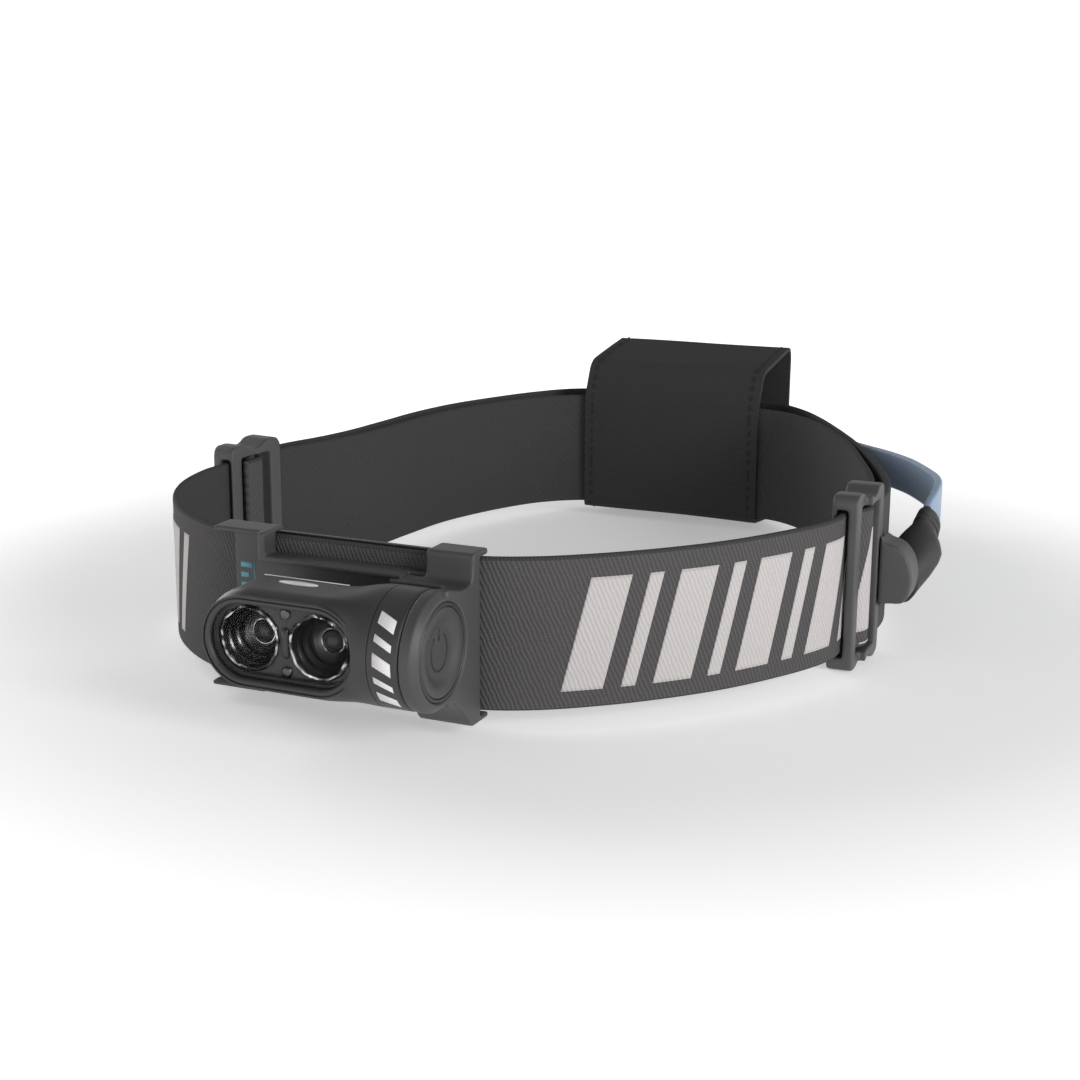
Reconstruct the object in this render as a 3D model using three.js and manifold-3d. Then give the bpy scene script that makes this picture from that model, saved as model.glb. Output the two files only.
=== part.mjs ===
// A headlamp for camping and expeditions: a twin-lens lamp on a tilting bracket, an elastic headband
// with two adjusters, and a battery in a fabric sleeve at the back, joined by a flat cable.
// Millimetres, +Z up. The lamp looks along -Y, and the headband stands on its lower edges at z = 0.
// Angles, x and y are laid out about the middle of the headband loop, and the whole is then moved so that
// the origin lies at the middle of the resting footprint.

import * as THREE from "three";
import { mergeVertices } from "three/addons/utils/BufferGeometryUtils.js";
import Module from "manifold-3d";

const wasm = await Module();
wasm.setup();

// ---- driving dimensions -------------------------------------------------------------------------

const GAP = 0.3; // clearance between touching pieces
const ORIGIN_X = 6.518; // middle of the footprint, measured from the middle of the loop
const ORIGIN_Y = 3.241;

const BAND_WIDTH = 35; // webbing width
const BAND_MID = 21.8; // height of the webbing's middle above the resting plane
const WEBBING = 1.8; // webbing thickness
const BAND_STEPS = 56; // straight pieces that one layer of webbing is drawn with

// Middle lines of the webbing, seen from above, anticlockwise.
const FRONT_PATH = [
  [-79.05, -31], [-79.5, -35.7], [-80.3, -45], [-76.5, -62], [-67.5, -77.5], [-55, -89.5], [-41, -96.6],
  [-25, -97.5], [-8, -97.5], [10, -97.4], [24, -96.2], [35, -91.4], [46, -83.3], [57, -73], [68, -60],
  [77, -45.5],
  [82.1, -34.8], [84, -27.6], [84.05, -22.3], [83.88, -17.5],
];
const INNER_PATH = [
  [83.48, -6], [83.34, -2], [83, 6.2], [81.3, 15], [77.5, 27], [71.5, 42], [63, 62], [54, 77.5], [45, 90.5],
  [36.5, 98.8], [30, 102.5], [24.5, 103.9], [14, 104], [-8, 104], [-28, 104.1], [-35.3, 104],
  [-42, 100], [-49, 92.5], [-57, 77],
  [-63.5, 57], [-66, 38], [-67.8, 20], [-71.4, 5], [-75, -5], [-76.7, -10.3],
  [-77.6, -15.5], [-78, -19.5],
];
const OUTER_PATH = [
  [87.68, -5.85], [87.54, -1.85], [87.1, 6.5], [85.4, 15], [82, 25.5], [76.5, 39], [69, 55], [61, 70],
  [52.5, 84.5], [44.5, 97],
  [36, 108], [26, 116.2], [14, 119.2], [-2, 119.4], [-18, 119.4], [-32, 118.8], [-44, 113.5],
  [-53, 102], [-60.5, 87], [-67, 70], [-70.5, 53], [-72, 36], [-73.8, 18], [-76.6, 5], [-79.6, -4],
  [-81.1, -10], [-81.8, -15.2], [-82.2, -19.1],
];

// Adjusters: place of the middle on the loop, and the direction of the webbing through it.
const SLIDER_RIGHT = { x: 83.76, y: -14, turn: 92 };
const SLIDER_LEFT = { x: -78.74, y: -27.5, turn: 264.6 };
const SLIDER_LENGTH = 21;
const SLIDER_HEIGHT = 2 * BAND_MID; // reaches down to the resting plane
const SLIDER_BAR = 4.4;
const LAYER_SPREAD = 4.2; // distance between the two layers of webbing at an adjuster

// Lamp.
const TILT_Y = -116.5; // tilt axis, parallel to X
const TILT_Z = BAND_MID + 1.6;
const LAMP_LEFT = -27.5; // rounded lens end
const SEAM_X = 14; // joint between shells and drum
const BODY_RADIUS = 11.3; // half height of the lens end, and its round back
const BODY_FRONT = -127.6; // flat front face
const SPLIT_Y = -112; // joint between front and rear shell
const WALL = 1.7;
const DRUM_RADIUS = 13;
const TRUNNION_RADIUS = 10.4;
const GROOVE = [10.8, 12.4]; // inner and outer radius of the groove for the friction ring
const LENS_X = -7.9; // middle of the lens window
const LENS_LENGTH = 35.6;
const LENS_HEIGHT = 17.7;
const LENS_PITCH = 16.6; // distance between the two reflectors
const REFLECTOR_RADIUS = 7.4;

// Bracket.
const CHEEK_X0 = 21.3;
const CHEEK_X1 = 25.2; // outer face of the cheek, which carries the button
const PLATE_FRONT = -101.2;
const CHANNEL_FRONT = -99; // webbing channel behind the plate
const CHANNEL_BACK = -95.2;
const CHANNEL_HALF = BAND_WIDTH / 2 + 0.4;
const HOOK_TOP = 19.3; // above the webbing's middle
const BRACKET_FOOT = BAND_MID - 19.1; // lowest face
const RIM_TOP = 13.8;
const RIM_FRONT = -104.2;
const CRADLE_FRONT = -109.5;

// Power button.
const BUTTON_RADIUS = 9.4;
const BUTTON_TRAVEL = 0.8;

// Sleeve and battery, as heights from the webbing's middle and y from the loop's middle.
const SLEEVE_X0 = -34.5;
const SLEEVE_X1 = 23.5;
const SLEEVE_CLOTH = 1.2;
const BATTERY_X0 = -33;
const BATTERY_X1 = 19;
const BATTERY_Y0 = 120.9;
const BATTERY_Y1 = 133.7;
const BATTERY_Z0 = -18.6;
const BATTERY_Z1 = 13.2;
const BATTERY_MID = (BATTERY_Y0 + BATTERY_Y1) / 2;
const BATTERY_WALL = 1.3;
const CELL_END = 5.2; // end of the cell towards the plug

// Battery cable: a flat lead, on its edge, from the boot round the outside of the webbing to the plug.
const CABLE_WIDTH = 10;
const CABLE_THICKNESS = 2.1;
const CABLE_STEPS = 56;
const CABLE_PATH = [
  [95.55, 20.5, 29.45], [95.95, 24, 31.8], [95.6, 28.5, 32.9], [93.7, 34.5, 33.2], [90.6, 41, 33],
  [86.6, 48.5, 32.7], [81.6, 57, 32.3], [73, 68.6, 31.5], [64.8, 78.5, 30.6], [57.2, 88, 29.7],
  [50.6, 97.5, 28.8],
  [44.8, 107, 27.8], [40, 115.5, 27], [35.4, 122.6, 26.2], [31, 126.5, 25.6], [27.6, 127.3, 25.4],
  [24.6, 127.3, 25.4],
];
const BOOT_FRONT = 2.35; // flat face against the outlet
const BOOT_LENGTH = 20;
const BOOT_TOP = new THREE.Vector3(95.5, 20, 29.1);
const BOOT_AXIS = new THREE.Vector3(0.075, 0.8, 0.6).normalize();
// Cross-sections of the boot: distance along it, half width in X and half depth.
const BOOT_SECTIONS = [
  [-6, 3, 4.2], [0, 3.8, 4.6], [4, 5.2, 4.8], [8, 6.1, 5], [10.5, 6.1, 5.2], [13, 5, 5.3],
  [15.2, 3.5, 5.4], [15.8, 3.4, 5.5], [16, 3.1, 5.3], [16.6, 3.1, 5.3], [16.8, 3.4, 5.5],
  [17.6, 3.3, 5.5], [17.8, 2.9, 5.3], [18.4, 2.9, 5.3], [18.6, 3.2, 5.5], [BOOT_LENGTH, 3, 5.5],
];

// ---- materials ----------------------------------------------------------------------------------

function finish(color, roughness, metalness = 0) {
  return new THREE.MeshStandardMaterial({ color, roughness, metalness });
}

const greyPlastic = finish(0x4e4d4e, 0.55);
const blackPlastic = finish(0x202022, 0.5);
const webbing = finish(0x4b4849, 0.95);
const sleeveCloth = finish(0x222222, 0.95);
const rubber = finish(0x2b2b2c, 0.8);
const blueCable = finish(0x566474, 0.6);
const clearCover = finish(0xd8dde0, 0.08);
const chrome = finish(0x8c8c90, 0.12, 1);
const steel = finish(0x9a9a9c, 0.35, 1);
const aluminium = finish(0xa9abad, 0.45, 1);
const boardGreen = finish(0x1f4a33, 0.6);
const ledYellow = finish(0xe5d36a, 0.4);
const cellFoil = finish(0x9fa3a8, 0.4, 0.6);

// ---- solids -------------------------------------------------------------------------------------

const X = new THREE.Vector3(1, 0, 0);
const Y = new THREE.Vector3(0, 1, 0);
const Z = new THREE.Vector3(0, 0, 1);

/** Turns a closed geometry into a solid whose faces point out. */
function solid(geometry) {
  const bare = geometry.clone();
  bare.deleteAttribute("normal");
  bare.deleteAttribute("uv");
  const merged = mergeVertices(bare, 1e-4);
  const place = merged.attributes.position;
  const corners = [];
  const a = new THREE.Vector3();
  const b = new THREE.Vector3();
  const c = new THREE.Vector3();
  let volume = 0;
  for (let i = 0; i < merged.index.count; i += 3) {
    const [p, q, r] = [0, 1, 2].map((k) => merged.index.getX(i + k));
    if (p === q || q === r || r === p) {
      continue;
    }
    a.fromBufferAttribute(place, p);
    b.fromBufferAttribute(place, q);
    c.fromBufferAttribute(place, r);
    volume += a.dot(b.cross(c));
    corners.push(p, q, r);
  }
  const triVerts = new Uint32Array(volume < 0 ? corners.reverse() : corners);
  const vertProperties = new Float32Array(place.array);
  return new wasm.Manifold(new wasm.Mesh({ numProp: 3, vertProperties, triVerts }));
}

function union(pieces) {
  return pieces.reduce((sum, piece) => sum.add(piece));
}

function box(x0, x1, y0, y1, z0, z1) {
  const geometry = new THREE.BoxGeometry(x1 - x0, y1 - y0, z1 - z0);
  return solid(geometry.translate((x0 + x1) / 2, (y0 + y1) / 2, (z0 + z1) / 2));
}

/** An outline drawn in (y, z), drawn out from x0 to x1. */
function prismX(shape, x0, x1, curveSegments = 12) {
  const geometry = new THREE.ExtrudeGeometry(shape, { depth: x1 - x0, bevelEnabled: false, curveSegments });
  geometry.applyMatrix4(new THREE.Matrix4().makeBasis(Y, Z, X));
  return solid(geometry.translate(x0, 0, 0));
}

/** An outline drawn in (x, z), drawn out from y0 to y1. */
function prismY(shape, y0, y1, curveSegments = 12) {
  const geometry = new THREE.ExtrudeGeometry(shape, { depth: y1 - y0, bevelEnabled: false, curveSegments });
  geometry.applyMatrix4(new THREE.Matrix4().makeBasis(X, Z, Y.clone().negate()));
  return solid(geometry.translate(0, y1, 0));
}

/** An outline drawn in (x, y), drawn out from z0 to z1. */
function prismZ(shape, z0, z1, curveSegments = 12) {
  const geometry = new THREE.ExtrudeGeometry(shape, { depth: z1 - z0, bevelEnabled: false, curveSegments });
  return solid(geometry.translate(0, 0, z0));
}

/** A profile of [radius, distance] turned about the line through y, z that runs along X. */
function turnedX(profile, y, z, segments = 40) {
  const points = profile.map(([radius, x]) => new THREE.Vector2(radius, x));
  const geometry = new THREE.LatheGeometry(points, segments);
  geometry.applyMatrix4(new THREE.Matrix4().makeBasis(Y, X, Z.clone().negate()));
  return solid(geometry.translate(0, y, z));
}

/** A profile of [radius, distance] turned about the line through x, z that runs along Y. */
function turnedY(profile, x, z, segments = 32) {
  const points = profile.map(([radius, y]) => new THREE.Vector2(radius, y));
  return solid(new THREE.LatheGeometry(points, segments).translate(x, 0, z));
}

function rodX(radius, x0, x1, y = TILT_Y, z = TILT_Z, segments = 40) {
  return turnedX([[0, x0], [radius, x0], [radius, x1], [0, x1]], y, z, segments);
}

function rodY(radius, y0, y1, x, z, segments = 24) {
  return turnedY([[0, y0], [radius, y0], [radius, y1], [0, y1]], x, z, segments);
}

function ringX(inner, outer, x0, x1) {
  return rodX(outer, x0, x1, TILT_Y, TILT_Z, 48).subtract(rodX(inner, x0 - 1, x1 + 1, TILT_Y, TILT_Z, 48));
}

/** A closed outline through points, with its corners rounded. */
function rounded(points, radius = 0) {
  const corners = points.map(([x, y]) => new THREE.Vector2(x, y));
  const shape = new THREE.Shape();
  corners.forEach((corner, i) => {
    const before = corners[(i + corners.length - 1) % corners.length];
    const after = corners[(i + 1) % corners.length];
    const reach = Math.min(radius, corner.distanceTo(before) / 2, corner.distanceTo(after) / 2);
    const start = corner.clone().add(before.clone().sub(corner).setLength(reach));
    const end = corner.clone().add(after.clone().sub(corner).setLength(reach));
    if (i === 0) {
      shape.moveTo(start.x, start.y);
    } else {
      shape.lineTo(start.x, start.y);
    }
    if (radius > 0) {
      shape.quadraticCurveTo(corner.x, corner.y, end.x, end.y);
    }
  });
  shape.closePath();
  return shape;
}

function rectangle(x0, x1, y0, y1, radius = 0) {
  return rounded([[x0, y0], [x1, y0], [x1, y1], [x0, y1]], radius);
}

/** A pill outline, length by height, about a middle point. */
function pill(x, y, length, height) {
  const radius = height / 2;
  const reach = length / 2 - radius;
  const shape = new THREE.Shape();
  shape.absarc(x - reach, y, radius, Math.PI / 2, Math.PI * 1.5, false);
  shape.absarc(x + reach, y, radius, -Math.PI / 2, Math.PI / 2, false);
  shape.closePath();
  return shape;
}

/** Moves each side of an anticlockwise outline inwards. */
function inset(points, distance) {
  return points.map(([x, y], i) => {
    const before = points[(i + points.length - 1) % points.length];
    const after = points[(i + 1) % points.length];
    const first = new THREE.Vector2(x - before[0], y - before[1]).normalize();
    const second = new THREE.Vector2(after[0] - x, after[1] - y).normalize();
    const normal = new THREE.Vector2(-first.y - second.y, first.x + second.x).normalize();
    const reach = distance / Math.max(0.3, normal.dot(new THREE.Vector2(-first.y, first.x)));
    return [x + normal.x * reach, y + normal.y * reach];
  });
}

/** Gives a solid its name and finish. */
function piece(name, material, body) {
  const mesh = body.getMesh();
  const geometry = new THREE.BufferGeometry();
  geometry.setAttribute("position", new THREE.BufferAttribute(mesh.vertProperties, 3));
  geometry.setIndex(new THREE.BufferAttribute(mesh.triVerts, 1));
  const made = new THREE.Mesh(geometry, material);
  made.name = name;
  return made;
}

// ---- lamp ---------------------------------------------------------------------------------------

/** The lamp's outside, or its hollow when shrunk by the wall. */
function lampForm(shrink) {
  const radius = BODY_RADIUS - shrink;
  const front = BODY_FRONT + shrink;
  const left = LAMP_LEFT + shrink;
  const right = SEAM_X + (shrink > 0 ? 1 : 0);
  const outline = new THREE.Shape();
  outline.moveTo(right, TILT_Z - radius);
  outline.lineTo(right, TILT_Z + radius);
  outline.lineTo(left + radius, TILT_Z + radius);
  outline.absarc(left + radius, TILT_Z, radius, Math.PI / 2, Math.PI * 1.5, false);
  outline.closePath();
  const side = new THREE.Shape();
  const corner = Math.max(1, 4 - shrink);
  side.moveTo(front, TILT_Z - radius + corner);
  side.quadraticCurveTo(front, TILT_Z - radius, front + corner, TILT_Z - radius);
  side.lineTo(TILT_Y, TILT_Z - radius);
  side.absarc(TILT_Y, TILT_Z, radius, -Math.PI / 2, Math.PI / 2, false);
  side.lineTo(front + corner, TILT_Z + radius);
  side.quadraticCurveTo(front, TILT_Z + radius, front, TILT_Z + radius - corner);
  side.closePath();
  const body = prismY(outline, front - 1, TILT_Y + radius + 1, 18);
  const lens = body.intersect(prismX(side, left - 1, right, 12));
  const flare = [[0, 5], [radius - 1.4, 5], [radius, 8], [DRUM_RADIUS - 0.5 - shrink, 12]];
  flare.push([DRUM_RADIUS - shrink, right], [0, right]);
  return lens.add(turnedX(flare, TILT_Y, TILT_Z, 48));
}

function lampShell() {
  const recess = prismY(pill(LENS_X, TILT_Z, LENS_LENGTH + 2 * GAP, LENS_HEIGHT + 2 * GAP), -130, -124.6, 16);
  const opening = prismY(pill(LENS_X, TILT_Z, LENS_LENGTH - 2.6, LENS_HEIGHT - 2.6), -130, -120, 16);
  const wall = lampForm(0).subtract(lampForm(WALL));
  const frame = prismY(pill(LENS_X, TILT_Z, LENS_LENGTH + 2.4, LENS_HEIGHT + 2.4), -126.5, -123.6, 16);
  return wall.add(frame).subtract(recess).subtract(opening);
}

function frontHousing() {
  const front = box(LAMP_LEFT - 5, SEAM_X - GAP / 2, -140, SPLIT_Y - GAP / 2, 0, 60);
  return piece("front_housing", greyPlastic, lampShell().intersect(front));
}

function rearHousing() {
  let shell = lampShell().intersect(box(LAMP_LEFT - 5, SEAM_X - GAP / 2, SPLIT_Y + GAP / 2, -90, 0, 60));
  for (const [x, z] of screwPlaces()) {
    const post = rodY(2.3, SPLIT_Y + 1, TILT_Y + BODY_RADIUS - 2.2, x, z).intersect(lampForm(WALL / 2));
    shell = shell.add(post).subtract(rodY(1.15, SPLIT_Y - 1, -100, x, z, 16));
    shell = shell.subtract(rodY(1.9, TILT_Y + 7.6, -100, x, z, 16));
  }
  return piece("rear_housing", greyPlastic, shell);
}

/** Screws near the corners of the rear shell, as x and z. */
function screwPlaces() {
  return [[-20.5, 5.2], [-20.5, -5.2], [3.5, 5.2], [3.5, -5.2]].map(([x, z]) => [x, TILT_Z + z]);
}

function housingScrews() {
  return screwPlaces().map(([x, z], i) => {
    const head = TILT_Y + 7.9;
    const shaft = rodY(0.85, SPLIT_Y + 1.4, head + 0.1, x, z, 12);
    const top = rodY(1.6, head, head + 1, x, z, 12);
    return piece(`housing_screw_${i + 1}`, steel, shaft.add(top));
  });
}

function drumHousing() {
  const x0 = SEAM_X + GAP / 2;
  const x1 = CHEEK_X0 - GAP;
  const drum = rodX(DRUM_RADIUS, x0, x1, TILT_Y, TILT_Z, 64);
  const trunnion = rodX(TRUNNION_RADIUS, x1 - 1, CHEEK_X1 - 0.5, TILT_Y, TILT_Z, 56);
  const hollow = rodX(DRUM_RADIUS - WALL, x0 - 1, x1 - WALL, TILT_Y, TILT_Z, 48);
  const seat = rodX(BUTTON_RADIUS + GAP, CHEEK_X1 - 2.6, CHEEK_X1 + 1, TILT_Y, TILT_Z, 48);
  const stem = rodX(2.6, x1 - 4, CHEEK_X1, TILT_Y, TILT_Z, 24);
  const groove = ringX(GROOVE[0], GROOVE[1], x1 - 1, x1 + 1);
  const cut = union([hollow, seat, stem, groove]);
  return piece("drum_housing", greyPlastic, drum.add(trunnion).subtract(cut));
}

function lensWindow() {
  const plate = prismY(pill(LENS_X, TILT_Z, LENS_LENGTH, LENS_HEIGHT), -127.3, -125.8, 16);
  return piece("lens_window", clearCover, plate);
}

function windowSeal() {
  const outer = prismY(pill(LENS_X, TILT_Z, LENS_LENGTH - 0.2, LENS_HEIGHT - 0.2), -125.5, -124.9, 12);
  const inner = prismY(pill(LENS_X, TILT_Z, LENS_LENGTH - 2.4, LENS_HEIGHT - 2.4), -126, -124, 12);
  return piece("window_seal", rubber, outer.subtract(inner));
}

function bezel() {
  let mask = prismY(pill(LENS_X, TILT_Z, LENS_LENGTH - 3.4, LENS_HEIGHT - 3.4), -124.5, -123.2, 12);
  for (const x of reflectorPlaces()) {
    mask = mask.subtract(rodY(REFLECTOR_RADIUS - 0.5, -126, -122, x, TILT_Z, 32));
  }
  const rib = prismY(pill(0, 0, 8, 1.8), -125.4, -123.6, 6).rotate([0, 90, 0]);
  return piece("bezel", blackPlastic, mask.add(rib.translate([LENS_X, 0, TILT_Z])));
}

function reflectorPlaces() {
  return [LENS_X - LENS_PITCH / 2, LENS_X + LENS_PITCH / 2];
}

/** A parabolic cup, open at the mouth and at the lamp. */
function reflector(name, x) {
  const mouth = -122.9;
  const back = -115.6;
  const throat = 2.4;
  const steps = 8;
  const inside = [];
  for (let i = 0; i <= steps; i += 1) {
    const depth = i / steps;
    const radius = throat + (REFLECTOR_RADIUS - 0.9 - throat) * Math.sqrt(1 - depth);
    inside.push([radius, mouth + (back - mouth) * depth]);
  }
  const outside = inside.map(([radius, y]) => [radius + 0.8, y]).reverse();
  const profile = [...inside, ...outside];
  profile.push(inside[0]);
  return piece(name, chrome, turnedY(profile, x, TILT_Z, 32));
}

function led(name, x) {
  const base = box(x - 1.4, x + 1.4, -115.9, -115.2, TILT_Z - 1.4, TILT_Z + 1.4);
  const dome = [];
  for (let i = 0; i <= 6; i += 1) {
    const angle = (Math.PI / 2) * (i / 6);
    dome.push([1.3 * Math.sin(angle), -115.6 - 1.3 * Math.cos(angle)]);
  }
  return piece(name, ledYellow, base.add(turnedY([...dome, [0, -115.6]], x, TILT_Z, 16)));
}

function ledBoard() {
  const board = prismY(pill(LENS_X, TILT_Z, 32, 17), -114.9, -113.7, 12);
  return piece("led_board", aluminium, board);
}

function heatSink() {
  const finPitch = 2.6;
  let sink = box(LENS_X - 8.5, LENS_X + 8.5, -113.4, -112.2, TILT_Z - 6.5, TILT_Z + 6.5);
  for (let i = -3; i <= 3; i += 1) {
    const x = LENS_X + i * finPitch;
    sink = sink.add(box(x - 0.5, x + 0.5, -112.4, -108.6, TILT_Z - 4, TILT_Z + 4));
  }
  return piece("heat_sink", aluminium, sink);
}

function controlBoard() {
  const board = box(9.5, 17, -120.5, -112.5, TILT_Z - 6.6, TILT_Z - 5.4);
  const chip = box(11, 15, -118.5, -114.5, TILT_Z - 5.5, TILT_Z - 4.3);
  return piece("control_board", boardGreen, board.add(chip));
}

function powerSwitch() {
  const base = box(15.2, 18.4, TILT_Y - 3, TILT_Y + 3, TILT_Z - 3, TILT_Z + 3);
  return piece("power_switch", blackPlastic, base.add(rodX(1.4, 18.3, 20, TILT_Y, TILT_Z, 16)));
}

function housingSeal() {
  const ring = lampForm(WALL + GAP).subtract(lampForm(WALL + GAP + 0.9));
  return piece("housing_seal", rubber, ring.intersect(box(-40, 4.5, SPLIT_Y - 0.6, SPLIT_Y + 0.6, 0, 60)));
}

/** Round button with a shallow dish, a raised rim and a stem through the trunnion's floor. */
function powerButton() {
  const face = CHEEK_X1 - 0.3;
  const profile = [[0, face - 1.4], [BUTTON_RADIUS, face - 1.4], [BUTTON_RADIUS, face - 0.4]];
  profile.push([BUTTON_RADIUS - 0.4, face], [BUTTON_RADIUS - 1.3, face], [BUTTON_RADIUS - 2.1, face - 0.5]);
  profile.push([BUTTON_RADIUS - 4.5, face - 0.8], [0, face - 0.9]);
  const cap = turnedX(profile, TILT_Y, TILT_Z, 48);
  const stem = rodX(2.2, 20 + GAP + BUTTON_TRAVEL, face - 1, TILT_Y, TILT_Z, 24);
  return piece("power_button", greyPlastic, cap.add(stem));
}

// ---- bracket ------------------------------------------------------------------------------------

/** Side outline of the bracket's right arm, from the hooks over the webbing to the round front. */
function armOutline(hookTop, radius) {
  const shape = new THREE.Shape();
  shape.moveTo(CHANNEL_BACK, BRACKET_FOOT);
  shape.lineTo(-102.2, BRACKET_FOOT);
  shape.quadraticCurveTo(-103.4, BRACKET_FOOT, -104.4, BRACKET_FOOT + 1.2);
  shape.quadraticCurveTo(-107.4, BRACKET_FOOT + 5, -109.8, BRACKET_FOOT + 6.6);
  shape.lineTo(TILT_Y + radius * Math.sin(0.35), TILT_Z - radius * Math.cos(0.35));
  shape.absarc(TILT_Y, TILT_Z, radius, -Math.PI / 2 + 0.35, Math.PI / 2 - 0.25, true);
  shape.quadraticCurveTo(-106, BAND_MID + 12, -103.4, BAND_MID + 13.2);
  shape.quadraticCurveTo(-102.4, BAND_MID + 14, -102.4, BAND_MID + hookTop - 1);
  shape.quadraticCurveTo(-102.4, BAND_MID + hookTop, -101.4, BAND_MID + hookTop);
  shape.lineTo(CHANNEL_BACK, BAND_MID + hookTop);
  shape.closePath();
  return shape;
}

function bracketPlate() {
  const top = BAND_MID + HOOK_TOP - 0.4;
  const left = prismY(rectangle(-35.4, -26.6, BRACKET_FOOT, top, 0.8), PLATE_FRONT, CHANNEL_FRONT, 4);
  const low = box(-27, 15, PLATE_FRONT, CHANNEL_FRONT, BAND_MID - 16, BAND_MID + RIM_TOP - 0.2);
  const right = box(14, CHEEK_X1, PLATE_FRONT, CHANNEL_FRONT, BRACKET_FOOT + 0.5, BAND_MID + 14);
  const rim = BAND_MID + RIM_TOP;
  const lip = prismX(rectangle(RIM_FRONT, CHANNEL_FRONT, rim - 1.5, rim, 0.6), -26.9, 9, 4);
  const step = prismY(rectangle(-27.6, -25.8, rim - 1.5, top + 0.1, 0.6), RIM_FRONT, CHANNEL_FRONT, 4);
  return union([left, low, right, lip, step]);
}

/** Hook that rolls over one edge of the webbing at the plate's left end. */
function leftHooks() {
  const top = BAND_MID + HOOK_TOP - 0.3;
  const over = prismX(rectangle(-102.6, CHANNEL_BACK, BAND_MID + CHANNEL_HALF, top, 0.45), -40.2, -26, 4);
  const shelf = BAND_MID - CHANNEL_HALF;
  const under = prismX(rectangle(-102.4, CHANNEL_BACK, BRACKET_FOOT, shelf, 0.5), -42, -28, 4);
  const joint = box(-35.4, -28.2, PLATE_FRONT, CHANNEL_FRONT, BRACKET_FOOT + 0.3, 6);
  return union([over, under, joint]);
}

/** Back-cut on the front edge of the cheek's round end. */
function cheekChamfer() {
  const deep = 1.5;
  const outer = DRUM_RADIUS + 3;
  const profile = [[DRUM_RADIUS - deep, CHEEK_X1 + 0.01], [outer, CHEEK_X1 + 0.01]];
  profile.push([outer, CHEEK_X1 - deep - 3]);
  profile.push([DRUM_RADIUS + 3 - 0.01, CHEEK_X1 - deep - 3], [DRUM_RADIUS + 0.01, CHEEK_X1 - deep]);
  profile.push(profile[0]);
  const ring = turnedX(profile, TILT_Y, TILT_Z, 48);
  return ring.intersect(box(10, 40, -140, TILT_Y + 2, -10, 80));
}

function bracket() {
  const cheek = prismX(armOutline(HOOK_TOP, DRUM_RADIUS), CHEEK_X0, CHEEK_X1, 24);
  const cradle = prismX(armOutline(12, DRUM_RADIUS + 1.4), 8.6, CHEEK_X0 + 0.1, 12);
  const behind = box(5, 30, CRADLE_FRONT, CHANNEL_BACK, 0, 60);
  const horn = prismX(armOutline(HOOK_TOP, DRUM_RADIUS), 14, CHEEK_X0 + 0.1, 12);
  const tab = box(12.4, 30, -108, CHANNEL_BACK, 0, BAND_MID - 13);
  const low = box(5, 30, CRADLE_FRONT, CHANNEL_BACK, BAND_MID - 15.5, 60);
  const foot = cradle.intersect(tab).intersect(behind);
  const arm = union([cheek, cradle.intersect(low), horn.intersect(behind), foot]);
  const [under, over] = [BAND_MID - CHANNEL_HALF, BAND_MID + CHANNEL_HALF];
  const channel = box(-60, 40, CHANNEL_FRONT, CHANNEL_BACK + 5, under, over);
  const turn = rodX(DRUM_RADIUS + 0.35, 0, CHEEK_X0, TILT_Y, TILT_Z, 64);
  const bore = rodX(TRUNNION_RADIUS + GAP, 15, 30, TILT_Y, TILT_Z, 56);
  const whole = union([bracketPlate(), leftHooks(), arm]);
  return piece("bracket", greyPlastic, whole.subtract(union([channel, turn, bore, cheekChamfer()])));
}

function backingPlate() {
  const z0 = BAND_MID - CHANNEL_HALF + 0.6;
  const z1 = BAND_MID + CHANNEL_HALF - 0.6;
  const plate = prismY(rectangle(-38, 23.5, z0, z1, 4), -95, -93.4, 6);
  return piece("backing_plate", blackPlastic, plate);
}

/** Washer in the drum's end groove that rubs on the cheek and holds the lamp's tilt. */
function frictionRing() {
  const ring = ringX(GROOVE[0] + GAP, GROOVE[1] - GAP, CHEEK_X0 - GAP - 0.7, CHEEK_X0 - 0.2);
  return piece("friction_ring", rubber, ring);
}

// ---- headband -----------------------------------------------------------------------------------

function pathOf(points) {
  const places = points.map(([x, y]) => new THREE.Vector3(x, y, 0));
  return new THREE.CatmullRomCurve3(places, false, "centripetal");
}

/** A band on its edge along a path, with its outer face to the right of the direction of travel. */
function band(points, thickness, z0, z1, offset = 0, steps = BAND_STEPS, from = 0, to = 1) {
  const path = pathOf(points);
  const front = offset + thickness / 2;
  const back = front - thickness;
  const corners = [];
  const faces = [0, 1, 2, 0, 2, 3];
  for (let i = 0; i <= steps; i += 1) {
    const share = from + ((to - from) * i) / steps;
    const place = path.getPointAt(share);
    const along = path.getTangentAt(share);
    for (const [out, z] of [[front, z0], [front, z1], [back, z1], [back, z0]]) {
      corners.push(place.x + along.y * out, place.y - along.x * out, z);
    }
  }
  for (let i = 0; i < steps; i += 1) {
    for (let k = 0; k < 4; k += 1) {
      const a = 4 * i + k;
      const b = 4 * i + ((k + 1) % 4);
      faces.push(a, a + 4, b + 4, a, b + 4, b);
    }
  }
  const last = 4 * steps;
  faces.push(last, last + 2, last + 1, last, last + 3, last + 2);
  const geometry = new THREE.BufferGeometry();
  geometry.setAttribute("position", new THREE.Float32BufferAttribute(corners, 3));
  geometry.setIndex(faces);
  return solid(geometry);
}

function straps() {
  const z0 = BAND_MID - BAND_WIDTH / 2;
  const z1 = BAND_MID + BAND_WIDTH / 2;
  return [
    piece("front_strap", webbing, band(FRONT_PATH, WEBBING, z0, z1)),
    piece("rear_strap_inner", webbing, band(INNER_PATH, WEBBING, z0, z1)),
    piece("rear_strap_outer", webbing, band(OUTER_PATH, WEBBING, z0, z1)),
  ];
}

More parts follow.
